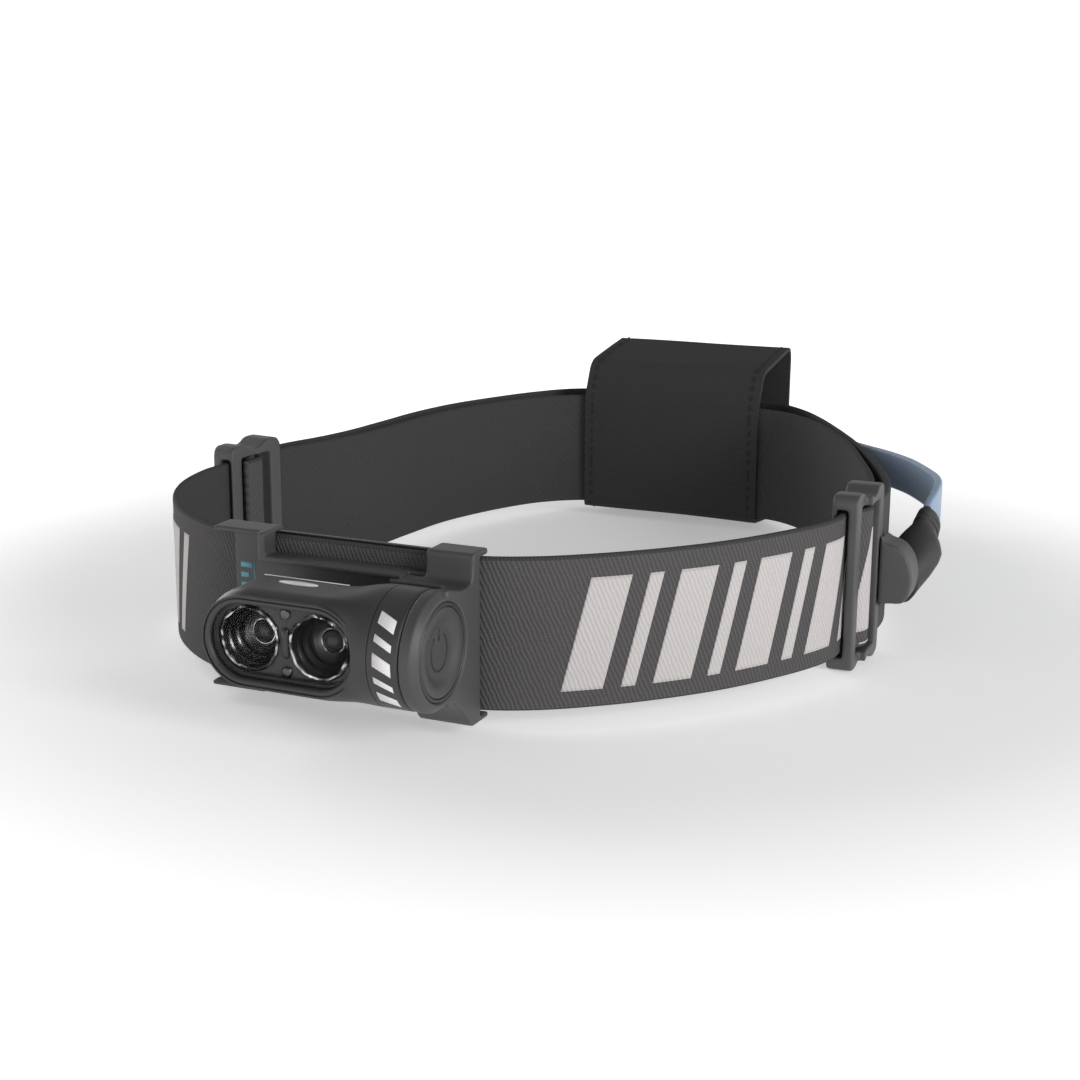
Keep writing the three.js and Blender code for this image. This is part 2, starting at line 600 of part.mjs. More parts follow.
/** Flat lead on the inner face of the front strap, from the lamp's bracket to the cable outlet. */
function bandLead() {
  const inside = -WEBBING / 2 - GAP - 0.45;
  const z0 = BAND_MID - 2;
  return piece("band_lead", rubber, band(FRONT_PATH, 0.9, z0, z0 + 4, inside, 30, 0.64, 0.93));
}

/** Outline of an adjuster's frame in (along, up): a humped rail above and below each bar. */
function sliderOutline() {
  const half = SLIDER_LENGTH / 2;
  const top = SLIDER_HEIGHT / 2;
  const dip = top - 1.7;
  const shape = new THREE.Shape();
  const corner = 2.6;
  const hump = half - 5;
  const fall = half - 7;
  shape.moveTo(-half, -top + corner);
  shape.quadraticCurveTo(-half, -top, -half + corner, -top);
  shape.lineTo(-hump, -top);
  shape.bezierCurveTo(-fall, -top, -fall, -dip, 0, -dip);
  shape.bezierCurveTo(fall, -dip, fall, -top, hump, -top);
  shape.lineTo(half - corner, -top);
  shape.quadraticCurveTo(half, -top, half, -top + corner);
  shape.lineTo(half, top - corner);
  shape.quadraticCurveTo(half, top, half - corner, top);
  shape.lineTo(hump, top);
  shape.bezierCurveTo(fall, top, fall, dip, 0, dip);
  shape.bezierCurveTo(-fall, dip, -fall, top, -hump, top);
  shape.lineTo(-half + corner, top);
  shape.quadraticCurveTo(-half, top, -half, top - corner);
  shape.closePath();
  return shape;
}

/** An adjuster about its own middle: along is +X towards the back of the band, outwards is -Y. */
function sliderBody() {
  const half = SLIDER_LENGTH / 2;
  const window = BAND_WIDTH / 2 + 0.8;
  const inner = 2.4;
  const outer = LAYER_SPREAD + 1.6;
  const frame = prismY(sliderOutline(), -outer, inner, 5);
  const opening = box(-half + SLIDER_BAR, half - SLIDER_BAR, -outer - 1, inner + 1, -window, window);
  const slot = box(-half - 1, 0, -WEBBING / 2 - 0.6, WEBBING / 2 + 0.6, -window, window);
  const slimFront = box(-half - 1, -half + SLIDER_BAR + 3, -outer - 1, -4, -40, 40);
  const pockets = [0, LAYER_SPREAD].map((spread) =>
    box(half - 3, half + 1, -spread - WEBBING / 2 - 0.4, -spread + WEBBING / 2 + 0.4, -window, window));
  const bar = box(-1.2, 1.2, -0.9, 0.9, -window - 1, window + 1);
  return frame.subtract(union([opening, slot, slimFront, ...pockets])).add(bar);
}

function placed(mesh, place, flip) {
  mesh.rotation.z = THREE.MathUtils.degToRad(place.turn + (flip ? 180 : 0));
  mesh.position.set(place.x, place.y, BAND_MID);
  return mesh;
}

function sliders() {
  const right = piece("slider_right", greyPlastic, sliderBody());
  const left = piece("slider_left", greyPlastic, sliderBody().mirror([0, 1, 0]));
  return [placed(right, SLIDER_RIGHT, false), placed(left, SLIDER_LEFT, true)];
}

/** Tongue that leads the cable out of the right adjuster. */
function cableOutlet() {
  const root = LAYER_SPREAD + 1.6 + GAP;
  const tip = -root - 8.2;
  const low = -8;
  const high = 7;
  const shape = new THREE.Shape();
  shape.moveTo(-root, low - 1.4);
  shape.lineTo(-root, high + 1.6);
  shape.quadraticCurveTo(-root - 0.8, high, -root - 3, high - 0.2);
  shape.bezierCurveTo(-root - 6, high - 1, tip, 2.5, tip, -1.5);
  shape.bezierCurveTo(tip, low + 2, tip + 1.5, low, -root - 5, low);
  shape.quadraticCurveTo(-root - 1, low, -root, low - 1.4);
  shape.closePath();
  const tongue = prismX(shape, 6, 15.5, 12);
  return placed(piece("cable_outlet", greyPlastic, tongue), SLIDER_RIGHT, false);
}

// ---- cable --------------------------------------------------------------------------------------

/** A path that keeps a flat section on its edge. */
class UprightPath extends THREE.CatmullRomCurve3 {
  computeFrenetFrames(segments) {
    const tangents = [];
    const normals = [];
    const binormals = [];
    for (let i = 0; i <= segments; i += 1) {
      const tangent = this.getTangentAt(i / segments);
      const up = Z.clone().addScaledVector(tangent, -tangent.z).normalize();
      tangents.push(tangent);
      binormals.push(up);
      normals.push(up.clone().cross(tangent));
    }
    return { tangents, normals, binormals };
  }
}

function batteryCable() {
  const path = new UprightPath(CABLE_PATH.map((p) => new THREE.Vector3(...p)), false, "centripetal");
  const t = CABLE_THICKNESS / 2;
  const w = CABLE_WIDTH / 2;
  const edge = 0.6;
  const section = [[t, -w + edge], [t, w - edge], [t - edge, w], [edge - t, w]];
  section.push([-t, w - edge], [-t, edge - w], [edge - t, -w], [t - edge, -w]);
  const shape = new THREE.Shape(section.map(([x, y]) => new THREE.Vector2(x, y)));
  const options = { steps: CABLE_STEPS, extrudePath: path, bevelEnabled: false };
  const geometry = new THREE.ExtrudeGeometry(shape, options);
  return piece("battery_cable", blueCable, solid(geometry));
}

/** Rubber strain relief: a swollen body that tapers to a ridged collar round the cable. */
function cableBoot() {
  const count = 20;
  const points = BOOT_SECTIONS.map(([along]) => new THREE.Vector2(1, along));
  points.unshift(new THREE.Vector2(0, BOOT_SECTIONS[0][0]));
  points.push(new THREE.Vector2(0, BOOT_LENGTH));
  const geometry = new THREE.LatheGeometry(points, count);
  const place = geometry.attributes.position;
  for (let i = 0; i < place.count; i += 1) {
    const section = BOOT_SECTIONS.find(([along]) => Math.abs(along - place.getY(i)) < 1e-3);
    place.setX(i, place.getX(i) * section[1]);
    place.setZ(i, place.getZ(i) * section[2]);
  }
  geometry.applyQuaternion(new THREE.Quaternion().setFromUnitVectors(Y, BOOT_AXIS));
  const foot = BOOT_TOP.clone().addScaledVector(BOOT_AXIS, -BOOT_LENGTH);
  const body = solid(geometry.translate(foot.x, foot.y, foot.z));
  return piece("cable_boot", rubber, body.intersect(box(60, 120, BOOT_FRONT, 60, 0, 80)));
}

function batteryPlug() {
  const [, y, z] = CABLE_PATH[CABLE_PATH.length - 1];
  const x1 = CABLE_PATH[CABLE_PATH.length - 1][0] - GAP;
  const body = prismX(rectangle(y - 2.6, y + 2.6, z - 6, z + 6, 1.6), BATTERY_X1 + GAP, x1, 5);
  const nose = box(BATTERY_X1 - 3, BATTERY_X1 + 1, y - 1.2, y + 1.2, z - 3.6, z + 3.6);
  return piece("battery_plug", rubber, body.add(nose));
}

// ---- sleeve and battery -------------------------------------------------------------------------

/** Side outline of the sleeve, anticlockwise in (y, z). */
function sleevePoints() {
  const m = BAND_MID;
  return [
    [101.3, m - 18.8], [120, m - 20.6], [135.4, 0], [136, m + 30], [134.4, m + 33],
    [108, m + 29], [105.4, m + 27.2], [101.4, m + 18.4],
  ];
}

function sleeve() {
  const outer = prismX(rounded(sleevePoints(), 1.6), SLEEVE_X0, SLEEVE_X1, 4);
  const inner = prismX(rounded(inset(sleevePoints(), SLEEVE_CLOTH), 1), SLEEVE_X0 - 1, SLEEVE_X1 + 1, 4);
  return piece("sleeve", sleeveCloth, outer.subtract(inner));
}

function sleeveClosure() {
  const strip = box(SLEEVE_X0 + 4, SLEEVE_X1 - 4, 109.5, 128, 0, 0.9);
  const slope = (4 / 26.4) * (180 / Math.PI);
  const top = strip.translate([0, -109.5, 0]).rotate([slope, 0, 0]);
  return piece("sleeve_closure", blackPlastic, top.translate([0, 110, BAND_MID + 26.6]));
}

function batteryForm(shrink) {
  const shape = rectangle(BATTERY_Y0 + shrink, BATTERY_Y1 - shrink, BAND_MID + BATTERY_Z0 + shrink,
    BAND_MID + BATTERY_Z1 - shrink, 3 - shrink);
  return prismX(shape, BATTERY_X0 + shrink, BATTERY_X1 - shrink, 6);
}

function socketPlace() {
  const [, y, z] = CABLE_PATH[CABLE_PATH.length - 1];
  return { y, z };
}

/** The battery's two half cases, parted across the middle of its thickness, with a mouth for the plug. */
function batteryCases() {
  const { y, z } = socketPlace();
  const mouth = box(BATTERY_X1 - 8, BATTERY_X1 + 1, y - 2.4, y + 2.4, z - 5, z + 5);
  const shell = batteryForm(0).subtract(batteryForm(BATTERY_WALL)).subtract(mouth);
  const near = box(-60, 60, 100, BATTERY_MID - GAP / 2, -10, 80);
  const far = box(-60, 60, BATTERY_MID + GAP / 2, 150, -10, 80);
  return [
    piece("battery_case_inner", blackPlastic, shell.intersect(near)),
    piece("battery_case_outer", blackPlastic, shell.intersect(far)),
  ];
}

function batteryCell() {
  const [z0, z1] = [BAND_MID + BATTERY_Z0 + 3, BAND_MID + BATTERY_Z1 - 3];
  const cell = prismX(rectangle(BATTERY_Y0 + 2, BATTERY_Y1 - 2, z0, z1, 2), BATTERY_X0 + 3, CELL_END, 4);
  return piece("battery_cell", cellFoil, cell);
}

/** Protection board on edge between the cell and the socket. */
function batteryBoard() {
  const { y, z } = socketPlace();
  const [z0, z1] = [BAND_MID + BATTERY_Z0 + 3, BAND_MID + BATTERY_Z1 - 3];
  const board = box(CELL_END + 1.8, CELL_END + 3, BATTERY_Y0 + 2, BATTERY_Y1 - 2, z0, z1);
  const chip = box(CELL_END + 2.9, CELL_END + 4.8, y - 2, y + 2, z - 3, z + 3);
  return piece("battery_board", boardGreen, board.add(chip));
}

function batterySocket() {
  const { y, z } = socketPlace();
  const seat = box(BATTERY_X1 - 5.5, BATTERY_X1 - 0.2, y - 2.1, y + 2.1, z - 4.7, z + 4.7);
  const bore = box(BATTERY_X1 - 3.8, BATTERY_X1 + 1, y - 1.5, y + 1.5, z - 3.9, z + 3.9);
  return piece("battery_socket", blackPlastic, seat.subtract(bore));
}

/** Flat ring round the cell, inside the joint between the half cases. */
function batterySeal() {
  const ringForm = (gap, half, corner) => {
    const [z0, z1] = [BAND_MID + BATTERY_Z0 + gap, BAND_MID + BATTERY_Z1 - gap];
    const outline = rectangle(BATTERY_X0 + gap, CELL_END + 3 - gap, z0, z1, corner);
    return prismY(outline, BATTERY_MID - half, BATTERY_MID + half, 4);
  };
  const width = 0.9;
  const outside = BATTERY_WALL + GAP;
  const ring = ringForm(outside, 0.5, 2).subtract(ringForm(outside + width, 1, 2 - width));
  return piece("battery_seal", rubber, ring);
}

// ---- the whole ----------------------------------------------------------------------------------

function lamp() {
  const [left, right] = reflectorPlaces();
  return [
    frontHousing(), rearHousing(), drumHousing(), lensWindow(), windowSeal(), bezel(),
    reflector("reflector_left", left), reflector("reflector_right", right),
    led("led_left", left), led("led_right", right), ledBoard(), heatSink(), controlBoard(),
    powerSwitch(), housingSeal(), ...housingScrews(),
  ];
}

const headlamp = new THREE.Group();
headlamp.position.set(-ORIGIN_X, -ORIGIN_Y, 0);
headlamp.add(...lamp(), powerButton(), bracket(), backingPlate(), frictionRing());
headlamp.add(...straps(), bandLead(), ...sliders());
headlamp.add(cableOutlet(), cableBoot(), batteryCable(), batteryPlug(), sleeve(), sleeveClosure());
headlamp.add(...batteryCases(), batteryCell(), batteryBoard(), batterySocket(), batterySeal());

export default headlamp;
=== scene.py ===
"""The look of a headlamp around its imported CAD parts.

The frame: -Y is the way the lamp shines, +Z is up, and the headband stands on z = 0. Lengths in this script
are in millimetres unless a name says otherwise. X and Y are laid out about the middle of the headband loop,
as in the CAD source, and at() moves them into the row frame, in metres.
"""

import math

import bmesh
import bpy
import numpy as np
from mathutils import Matrix, Vector


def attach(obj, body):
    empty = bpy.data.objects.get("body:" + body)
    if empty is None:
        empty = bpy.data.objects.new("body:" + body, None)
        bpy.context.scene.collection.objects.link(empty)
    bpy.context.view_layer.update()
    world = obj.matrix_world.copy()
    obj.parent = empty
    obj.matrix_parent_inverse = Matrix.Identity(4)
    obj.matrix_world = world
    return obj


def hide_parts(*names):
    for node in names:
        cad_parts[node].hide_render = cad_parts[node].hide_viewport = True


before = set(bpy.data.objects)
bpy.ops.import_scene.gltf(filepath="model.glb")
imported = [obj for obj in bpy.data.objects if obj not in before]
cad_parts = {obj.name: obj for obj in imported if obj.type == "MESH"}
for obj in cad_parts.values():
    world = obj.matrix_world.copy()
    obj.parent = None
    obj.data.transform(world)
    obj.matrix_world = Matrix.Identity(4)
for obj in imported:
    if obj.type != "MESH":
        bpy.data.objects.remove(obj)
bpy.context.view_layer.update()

MM = 0.001

# ---- dimensions of the CAD source -----------------------------------------------------------------

ORIGIN = (6.518, 3.241)
BAND_MID = 21.8
BAND_WIDTH = 35
WEBBING = 1.8

FRONT_PATH = [
    (-79.05, -31), (-79.5, -35.7), (-80.3, -45), (-76.5, -62), (-67.5, -77.5), (-55, -89.5), (-41, -96.6),
    (-25, -97.5), (-8, -97.5), (10, -97.4), (24, -96.2), (35, -91.4), (46, -83.3), (57, -73), (68, -60),
    (77, -45.5), (82.1, -34.8), (84, -27.6), (84.05, -22.3), (83.88, -17.5),
]
INNER_PATH = [
    (83.48, -6), (83.34, -2), (83, 6.2), (81.3, 15), (77.5, 27), (71.5, 42), (63, 62), (54, 77.5), (45, 90.5),
    (36.5, 98.8), (30, 102.5), (24.5, 103.9), (14, 104), (-8, 104), (-28, 104.1), (-35.3, 104),
    (-42, 100), (-49, 92.5), (-57, 77), (-63.5, 57), (-66, 38), (-67.8, 20), (-71.4, 5), (-75, -5),
    (-76.7, -10.3), (-77.6, -15.5), (-78, -19.5),
]
OUTER_PATH = [
    (87.68, -5.85), (87.54, -1.85), (87.1, 6.5), (85.4, 15), (82, 25.5), (76.5, 39), (69, 55), (61, 70),
    (52.5, 84.5), (44.5, 97), (36, 108), (26, 116.2), (14, 119.2), (-2, 119.4), (-18, 119.4), (-32, 118.8),
    (-44, 113.5), (-53, 102), (-60.5, 87), (-67, 70), (-70.5, 53), (-72, 36), (-73.8, 18), (-76.6, 5),
    (-79.6, -4), (-81.1, -10), (-81.8, -15.2), (-82.2, -19.1),
]
CABLE_PATH = [
    (95.55, 20.5, 29.45), (95.95, 24, 31.8), (95.6, 28.5, 32.9), (93.7, 34.5, 33.2), (90.6, 41, 33),
    (86.6, 48.5, 32.7), (81.6, 57, 32.3), (73, 68.6, 31.5), (64.8, 78.5, 30.6), (57.2, 88, 29.7),
    (50.6, 97.5, 28.8), (44.8, 107, 27.8), (40, 115.5, 27), (35.4, 122.6, 26.2), (31, 126.5, 25.6),
    (27.6, 127.3, 25.4), (24.6, 127.3, 25.4),
]
CABLE_WIDTH = 10
CABLE_THICKNESS = 2.1

SLIDER_RIGHT = (83.76, -14, 92)
SLIDER_LEFT = (-78.74, -27.5, 264.6)

TILT_Y = -116.5
TILT_Z = BAND_MID + 1.6
LAMP_LEFT = -27.5
BODY_RADIUS = 11.3
BODY_FRONT = -127.6
DRUM_RADIUS = 13
SEAM_X = 14
TRUNNION_RADIUS = 10.4
CHEEK_X1 = 25.2
BUTTON_RADIUS = 9.4
LENS_X = -7.9
LENS_LENGTH = 35.6
LENS_HEIGHT = 17.7

SLEEVE_CLOTH = 1.2
BOOT_TOP = Vector((95.5, 20, 29.1))
BOOT_AXIS = Vector((0.075, 0.8, 0.6)).normalized()
BOOT_LENGTH = 20

# ---- dimensions of the finer shapes in this script ------------------------------------------------

# The strain relief's sections: how far along its axis, half width and half height.
BOOT_SECTIONS = [
    (-6, 1.4, 1.6), (-5.2, 2.4, 2.9), (-3, 3.1, 3.7), (0, 3.8, 4.5), (4, 5.2, 4.8), (8, 6.1, 5),
    (10.5, 6.1, 5.2), (13, 5, 5.3), (15.2, 3.5, 5.4), (15.8, 3.4, 5.5), (16, 3, 5.2), (16.6, 3, 5.2),
    (16.8, 3.4, 5.5), (17.6, 3.3, 5.5), (17.8, 2.9, 5.2), (18.4, 2.9, 5.2), (18.6, 3.2, 5.5),
    (BOOT_LENGTH, 3, 5.5),
]
BOOT_FRONT = 2.4

BODY_CORNER = 3.4
FLARE_START = 1.5
FLARE_END = 13
DRUM_END = 21.2
WINDOW_PLAY = 0.35
WINDOW_POCKET_BACK = -114.2
SCREW_SEAT = -108.9
SCREW_HOLE = 1.95
CUP_PITCH = 17
CUP_RADIUS = 7.1
CUP_FRONT = -124.9
CUP_DEPTH = 5.6
CUP_BOTTOM = CUP_FRONT + 0.9 + CUP_DEPTH
BUTTON_SKIRT_X = 22.7
TRUNNION_X0 = 19.5

PRINT_WIDTHS = (9.5, 3.4)
PRINT_GAP = 4.2
FLAT_POINTS = 12
EDGE_POINTS = 5
PLATE_FACE = -101.23

SLEEVE_X0 = -34.5
SLEEVE_X1 = 23.5


def at(x, y, z):
    """A point laid out about the loop, in millimetres, as a point of the row frame, in metres."""
    return Vector(((x - ORIGIN[0]) * MM, (y - ORIGIN[1]) * MM, z * MM))


# ---- materials ------------------------------------------------------------------------------------


class Shader:
    """A material on the Principled shader, with a few short calls for building its node tree."""

    def __init__(self, name, color, roughness, metallic=0.0):
        self.material = bpy.data.materials.new(name)
        self.material.use_nodes = True
        self.tree = self.material.node_tree
        self.bsdf = self.tree.nodes["Principled BSDF"]
        self.set("Base Color", (*color, 1))
        self.set("Roughness", roughness)
        self.set("Metallic", metallic)

    def set(self, socket, value):
        self.bsdf.inputs[socket].default_value = value

    def node(self, kind, **values):
        made = self.tree.nodes.new(kind)
        for key, value in values.items():
            setattr(made, key, value)
        return made

    def feed(self, socket, value):
        if isinstance(value, bpy.types.NodeSocket):
            self.tree.links.new(value, socket)
        else:
            socket.default_value = value

    def math(self, operation, a, b=0.0, c=0.0):
        made = self.node("ShaderNodeMath", operation=operation)
        for socket, value in zip(made.inputs, (a, b, c)):
            self.feed(socket, value)
        return made.outputs[0]

    def coordinates(self, kind="Object"):
        return self.node("ShaderNodeTexCoord").outputs[kind]

    def join(self, x, y):
        made = self.node("ShaderNodeCombineXYZ")
        self.feed(made.inputs[0], x)
        self.feed(made.inputs[1], y)
        return made.outputs[0]

    def split(self, vector):
        made = self.node("ShaderNodeSeparateXYZ")
        self.feed(made.inputs[0], vector)
        return made.outputs

    def noise(self, vector, scale, detail=2.0, roughness=0.5):
        made = self.node("ShaderNodeTexNoise")
        self.feed(made.inputs["Vector"], vector)
        made.inputs["Scale"].default_value = scale
        made.inputs["Detail"].default_value = detail
        made.inputs["Roughness"].default_value = roughness
        return made.outputs["Fac"]

    def voronoi(self, vector, scale):
        made = self.node("ShaderNodeTexVoronoi")
        self.feed(made.inputs["Vector"], vector)
        made.inputs["Scale"].default_value = scale
        return made.outputs["Distance"]

    def mix(self, share, first, second):
        made = self.node("ShaderNodeMix", data_type="RGBA")
        self.feed(made.inputs["Factor"], share)
        self.feed(made.inputs["A"], (*first, 1) if isinstance(first, tuple) else first)
        self.feed(made.inputs["B"], (*second, 1) if isinstance(second, tuple) else second)
        return made.outputs["Result"]

    def bump(self, height, strength, distance):
        made = self.node("ShaderNodeBump")
        made.inputs["Strength"].default_value = strength
        made.inputs["Distance"].default_value = distance
        self.feed(made.inputs["Height"], height)
        self.feed(self.bsdf.inputs["Normal"], made.outputs[0])

    def fade(self, value, low, high, dim, bright):
        made = self.node("ShaderNodeMapRange", interpolation_type="SMOOTHSTEP")
        for socket, given in zip(made.inputs, (value, low, high, dim, bright)):
            self.feed(socket, given)
        return made.outputs[0]

    def color(self, value):
        self.feed(self.bsdf.inputs["Base Color"], value)


def moulded(name, color, roughness, grain=9000, strength=0.12):
    """Moulded plastic or rubber with a fine spark-eroded grain and faint handling marks."""
    s = Shader(name, color, roughness)
    place = s.coordinates()
    fine = s.noise(place, grain, 2)
    broad = s.noise(place, 60, 3)
    s.bump(s.math("ADD", fine, s.math("MULTIPLY", broad, 0.3)), strength, 0.00008)
    paler = tuple(min(1, c * 1.18 + 0.003) for c in color)
    s.color(s.mix(broad, color, paler))
    return s


def woven(name, color, pitch, slant, depth, waver=0.1, rib=0.5, fuzz=0.35, spread=0.5):
    """Cloth with slanted ribs crossed by finer threads. It reads the mesh's UV, in millimetres of cloth."""
    s = Shader(name, color, 0.95)
    u, v, _ = s.split(s.coordinates("UV"))
    place = s.join(u, v)
    drift = s.math("MULTIPLY", s.noise(place, 0.35, 2), waver * pitch * 8)
    along = s.math("ADD", s.math("MULTIPLY_ADD", v, slant, u), drift)
    ribs = s.math("SINE", s.math("MULTIPLY", along, 2 * math.pi / pitch))
    cross = s.math("SINE", s.math("MULTIPLY", v, 2 * math.pi / (pitch * 0.55)))
    fibres = s.noise(place, 4, 3, 0.7)
    height = s.math("ADD", s.math("MULTIPLY", ribs, rib), s.math("MULTIPLY", cross, rib * 0.35))
    height = s.math("ADD", height, s.math("MULTIPLY", fibres, fuzz * 2))
    # The colour follows the height: painted shade in the hollows of the weave, a painted highlight on its
    # crests, and uneven tone from the fibres.
    relief_shade = s.math("MULTIPLY_ADD", height, 0.45, 0.5 - fuzz * 0.45)
    low = tuple(c * (1 - spread) for c in color)
    high = tuple(c * (1 + spread) for c in color)
    s.color(s.mix(relief_shade, low, high))
    s.bump(height, depth, 0.0003)
    s.set("Specular IOR Level", 0.12)
    return s


def make_materials():
    made = {}
    made["plastic"] = moulded("grey_plastic", (0.053, 0.0515, 0.053), 0.5)
    made["adjuster"] = moulded("adjuster_plastic", (0.068, 0.0665, 0.0675), 0.5)
    made["body"] = moulded("body_plastic", (0.033, 0.032, 0.0327), 0.46)
    made["button"] = moulded("button_plastic", (0.046, 0.045, 0.0455), 0.46)
    made["black"] = moulded("black_plastic", (0.012, 0.012, 0.013), 0.45)
    made["rubber"] = moulded("black_rubber", (0.034, 0.034, 0.0345), 0.6, 6000, 0.2)
    made["cable"] = cable_skin()
    dark, dim, pale = (0.09, 0.086, 0.0875), (0.058, 0.058, 0.058), (0.54, 0.512, 0.507)
    made["band"] = woven("webbing_outside", dark, 1.05, 0.42, 0.6, rib=0.42, spread=0.45)
    made["band_inside"] = woven("webbing_inside", dim, 0.8, -0.35, 0.4, fuzz=0.3, spread=0.3)
    made["rim"] = woven("webbing_edge", (0.06, 0.059, 0.06), 0.8, 0.2, 0.4, spread=0.3)
    made["print"] = woven("pale_print", pale, 1.05, 0.42, 0.5, fuzz=0.25, spread=0.14)
    made["sleeve"] = woven("sleeve_fabric", (0.046, 0.046, 0.046), 0.55, 0.0, 0.3, rib=0.25, spread=0.3)
    made["thread"] = moulded("thread", (0.014, 0.014, 0.014), 0.8)
    made["pale_thread"] = moulded("pale_thread", (0.5, 0.5, 0.48), 0.8)
    made["white_ink"] = moulded("white_ink", (0.72, 0.7, 0.69), 0.55, 7000, 0.05)
    made["teal_ink"] = moulded("teal_ink", (0.10, 0.27, 0.33), 0.55, 7000, 0.05)
    made["dark_ink"] = moulded("dark_ink", (0.018, 0.018, 0.019), 0.5, 7000, 0.05)
    made["glass"] = cover_glass()
    made["chrome"] = reflector_metal()
    made["glint"] = bright_rim()
    made["bezel"] = bezel_metal()
    made["steel"] = brushed("steel", (0.42, 0.42, 0.43), 0.34)
    made["aluminium"] = brushed("aluminium", (0.6, 0.61, 0.62), 0.42)
    made["foil"] = brushed("cell_foil", (0.5, 0.52, 0.55), 0.3)
    made["board"] = circuit_board()
    made["led"] = led_phosphor()
    # The emitter domes are dark in colour as painted shade over the emitters.
    made["smoked"] = moulded("shade_dark_dome", (0.03, 0.03, 0.032), 0.1, 3000, 0.01)
    made["floor"] = studio_floor()
    return made


def cable_skin():
    """Satin blue jacket with faint lengthwise drawing marks."""
    s = Shader("blue_cable", (0.115, 0.165, 0.235), 0.45)
    u, v, _ = s.split(s.coordinates("UV"))
    drawn = s.math("SINE", s.math("MULTIPLY", v, 2 * math.pi / 1.2))
    place = s.join(s.math("MULTIPLY", u, 0.5), s.math("MULTIPLY", v, 2.0))
    mottle = s.noise(place, 2.2, 3, 0.6)
    s.bump(s.math("ADD", s.math("MULTIPLY", drawn, 0.12), mottle), 0.4, 0.0002)
    s.color(s.mix(mottle, (0.2, 0.27, 0.365), (0.335, 0.445, 0.6)))
    return s


def cover_glass():
    """Clear, lightly smoked cover with very faint marks from wiping."""
    s = Shader("clear_cover", (0.02, 0.02, 0.02), 0.04)
    s.set("Alpha", 0.05)
    s.set("IOR", 1.5)
    s.color(s.mix(s.noise(s.coordinates(), 200, 3), (0.012, 0.012, 0.013), (0.03, 0.03, 0.031)))
    return s


def reflector_metal():
    """Chrome darkened in its colour, a painted reflection of dark surroundings; a little uneven."""
    s = Shader("reflector_chrome", (0.12, 0.12, 0.125), 0.26, 1.0)
    s.color(s.mix(s.noise(s.coordinates(), 260, 3), (0.06, 0.06, 0.062), (0.2, 0.2, 0.205)))
    return s


def bright_rim():
    """Polished edge round each cup, its colour patchy so that only parts of it are bright: painted glints."""
    s = Shader("bright_rim", (0.6, 0.6, 0.61), 0.1, 1.0)
    # Patches of bright colour on the rim are painted glints.
    glint_patches = s.math("MULTIPLY_ADD", s.noise(s.coordinates(), 330, 2), 6.0, -2.8)
    s.color(s.mix(glint_patches, (0.06, 0.06, 0.062), (0.9, 0.9, 0.91)))
    return s


def bezel_metal():
    """Smoked, glossy mask between the reflectors."""
    s = Shader("smoked_bezel", (0.03, 0.03, 0.031), 0.16)
    s.color(s.mix(s.noise(s.coordinates(), 160, 3), (0.018, 0.018, 0.019), (0.05, 0.05, 0.052)))
    return s


def brushed(name, color, roughness):
    """Metal with fine marks along X."""
    s = Shader(name, color, roughness, 1.0)
    stretched = s.node("ShaderNodeMapping")
    s.feed(stretched.inputs["Vector"], s.coordinates())
    stretched.inputs["Scale"].default_value = (200, 4000, 4000)
    marks = s.noise(stretched.outputs[0], 1, 3)
    s.bump(marks, 0.2, 0.0001)
    s.color(s.mix(marks, tuple(c * 0.8 for c in color), color))
    return s


def circuit_board():
    """Green solder mask with faint tracks."""
    s = Shader("circuit_board", (0.02, 0.10, 0.05), 0.35)
    tracks = s.math("GREATER_THAN", s.voronoi(s.coordinates(), 900), 0.45)
    s.color(s.mix(tracks, (0.015, 0.085, 0.04), (0.03, 0.15, 0.07)))
    s.bump(tracks, 0.2, 0.0001)
    return s


def led_phosphor():
    s = Shader("led_phosphor", (0.42, 0.39, 0.26), 0.3)
    grain = s.noise(s.coordinates(), 3000, 2)
    s.color(s.mix(grain, (0.36, 0.33, 0.2), (0.48, 0.45, 0.32)))
    s.bump(grain, 0.2, 0.0001)
    return s


def studio_floor():
    """White paper that glows so that it reads white and fades into the sky; the glow is weaker near the
    middle, a painted shadow round the headlamp.
    """
    s = Shader("floor", (0.9, 0.9, 0.9), 0.7)
    s.set("Specular IOR Level", 0.1)
    s.set("Emission Color", (1, 1, 1, 1))
    x, y, _ = s.split(s.coordinates())
    reach = s.math("SQRT", s.math("ADD", s.math("MULTIPLY", x, x), s.math("MULTIPLY", y, y)))
    # Weaker glow near the middle: a painted shadow round the headlamp.
    near = s.fade(reach, 0.13, 0.28, 0.33, 0.76)
    far = s.fade(reach, 0.27, 2.0, 0.0, 0.4)
    s.feed(s.bsdf.inputs["Emission Strength"], s.math("ADD", near, far))
    return s


# ---- building meshes ------------------------------------------------------------------------------


def arc(x, z, radius, start, end, count, tall=None):
    """Points on a round arc or, where tall is given, an oval one, between two angles in radians."""
    tall = radius if tall is None else tall
    return [(x + radius * math.cos(a), z + tall * math.sin(a)) for a in np.linspace(start, end, count)]


def circle(count):
    """The cosine and the sine of evenly spaced angles all the way round."""
    angles = [2 * math.pi * k / count for k in range(count)]
    return [(math.cos(a), math.sin(a)) for a in angles]


def ease(share):
    """A smooth step from 0 to 1."""
    return share * share * (3 - 2 * share)


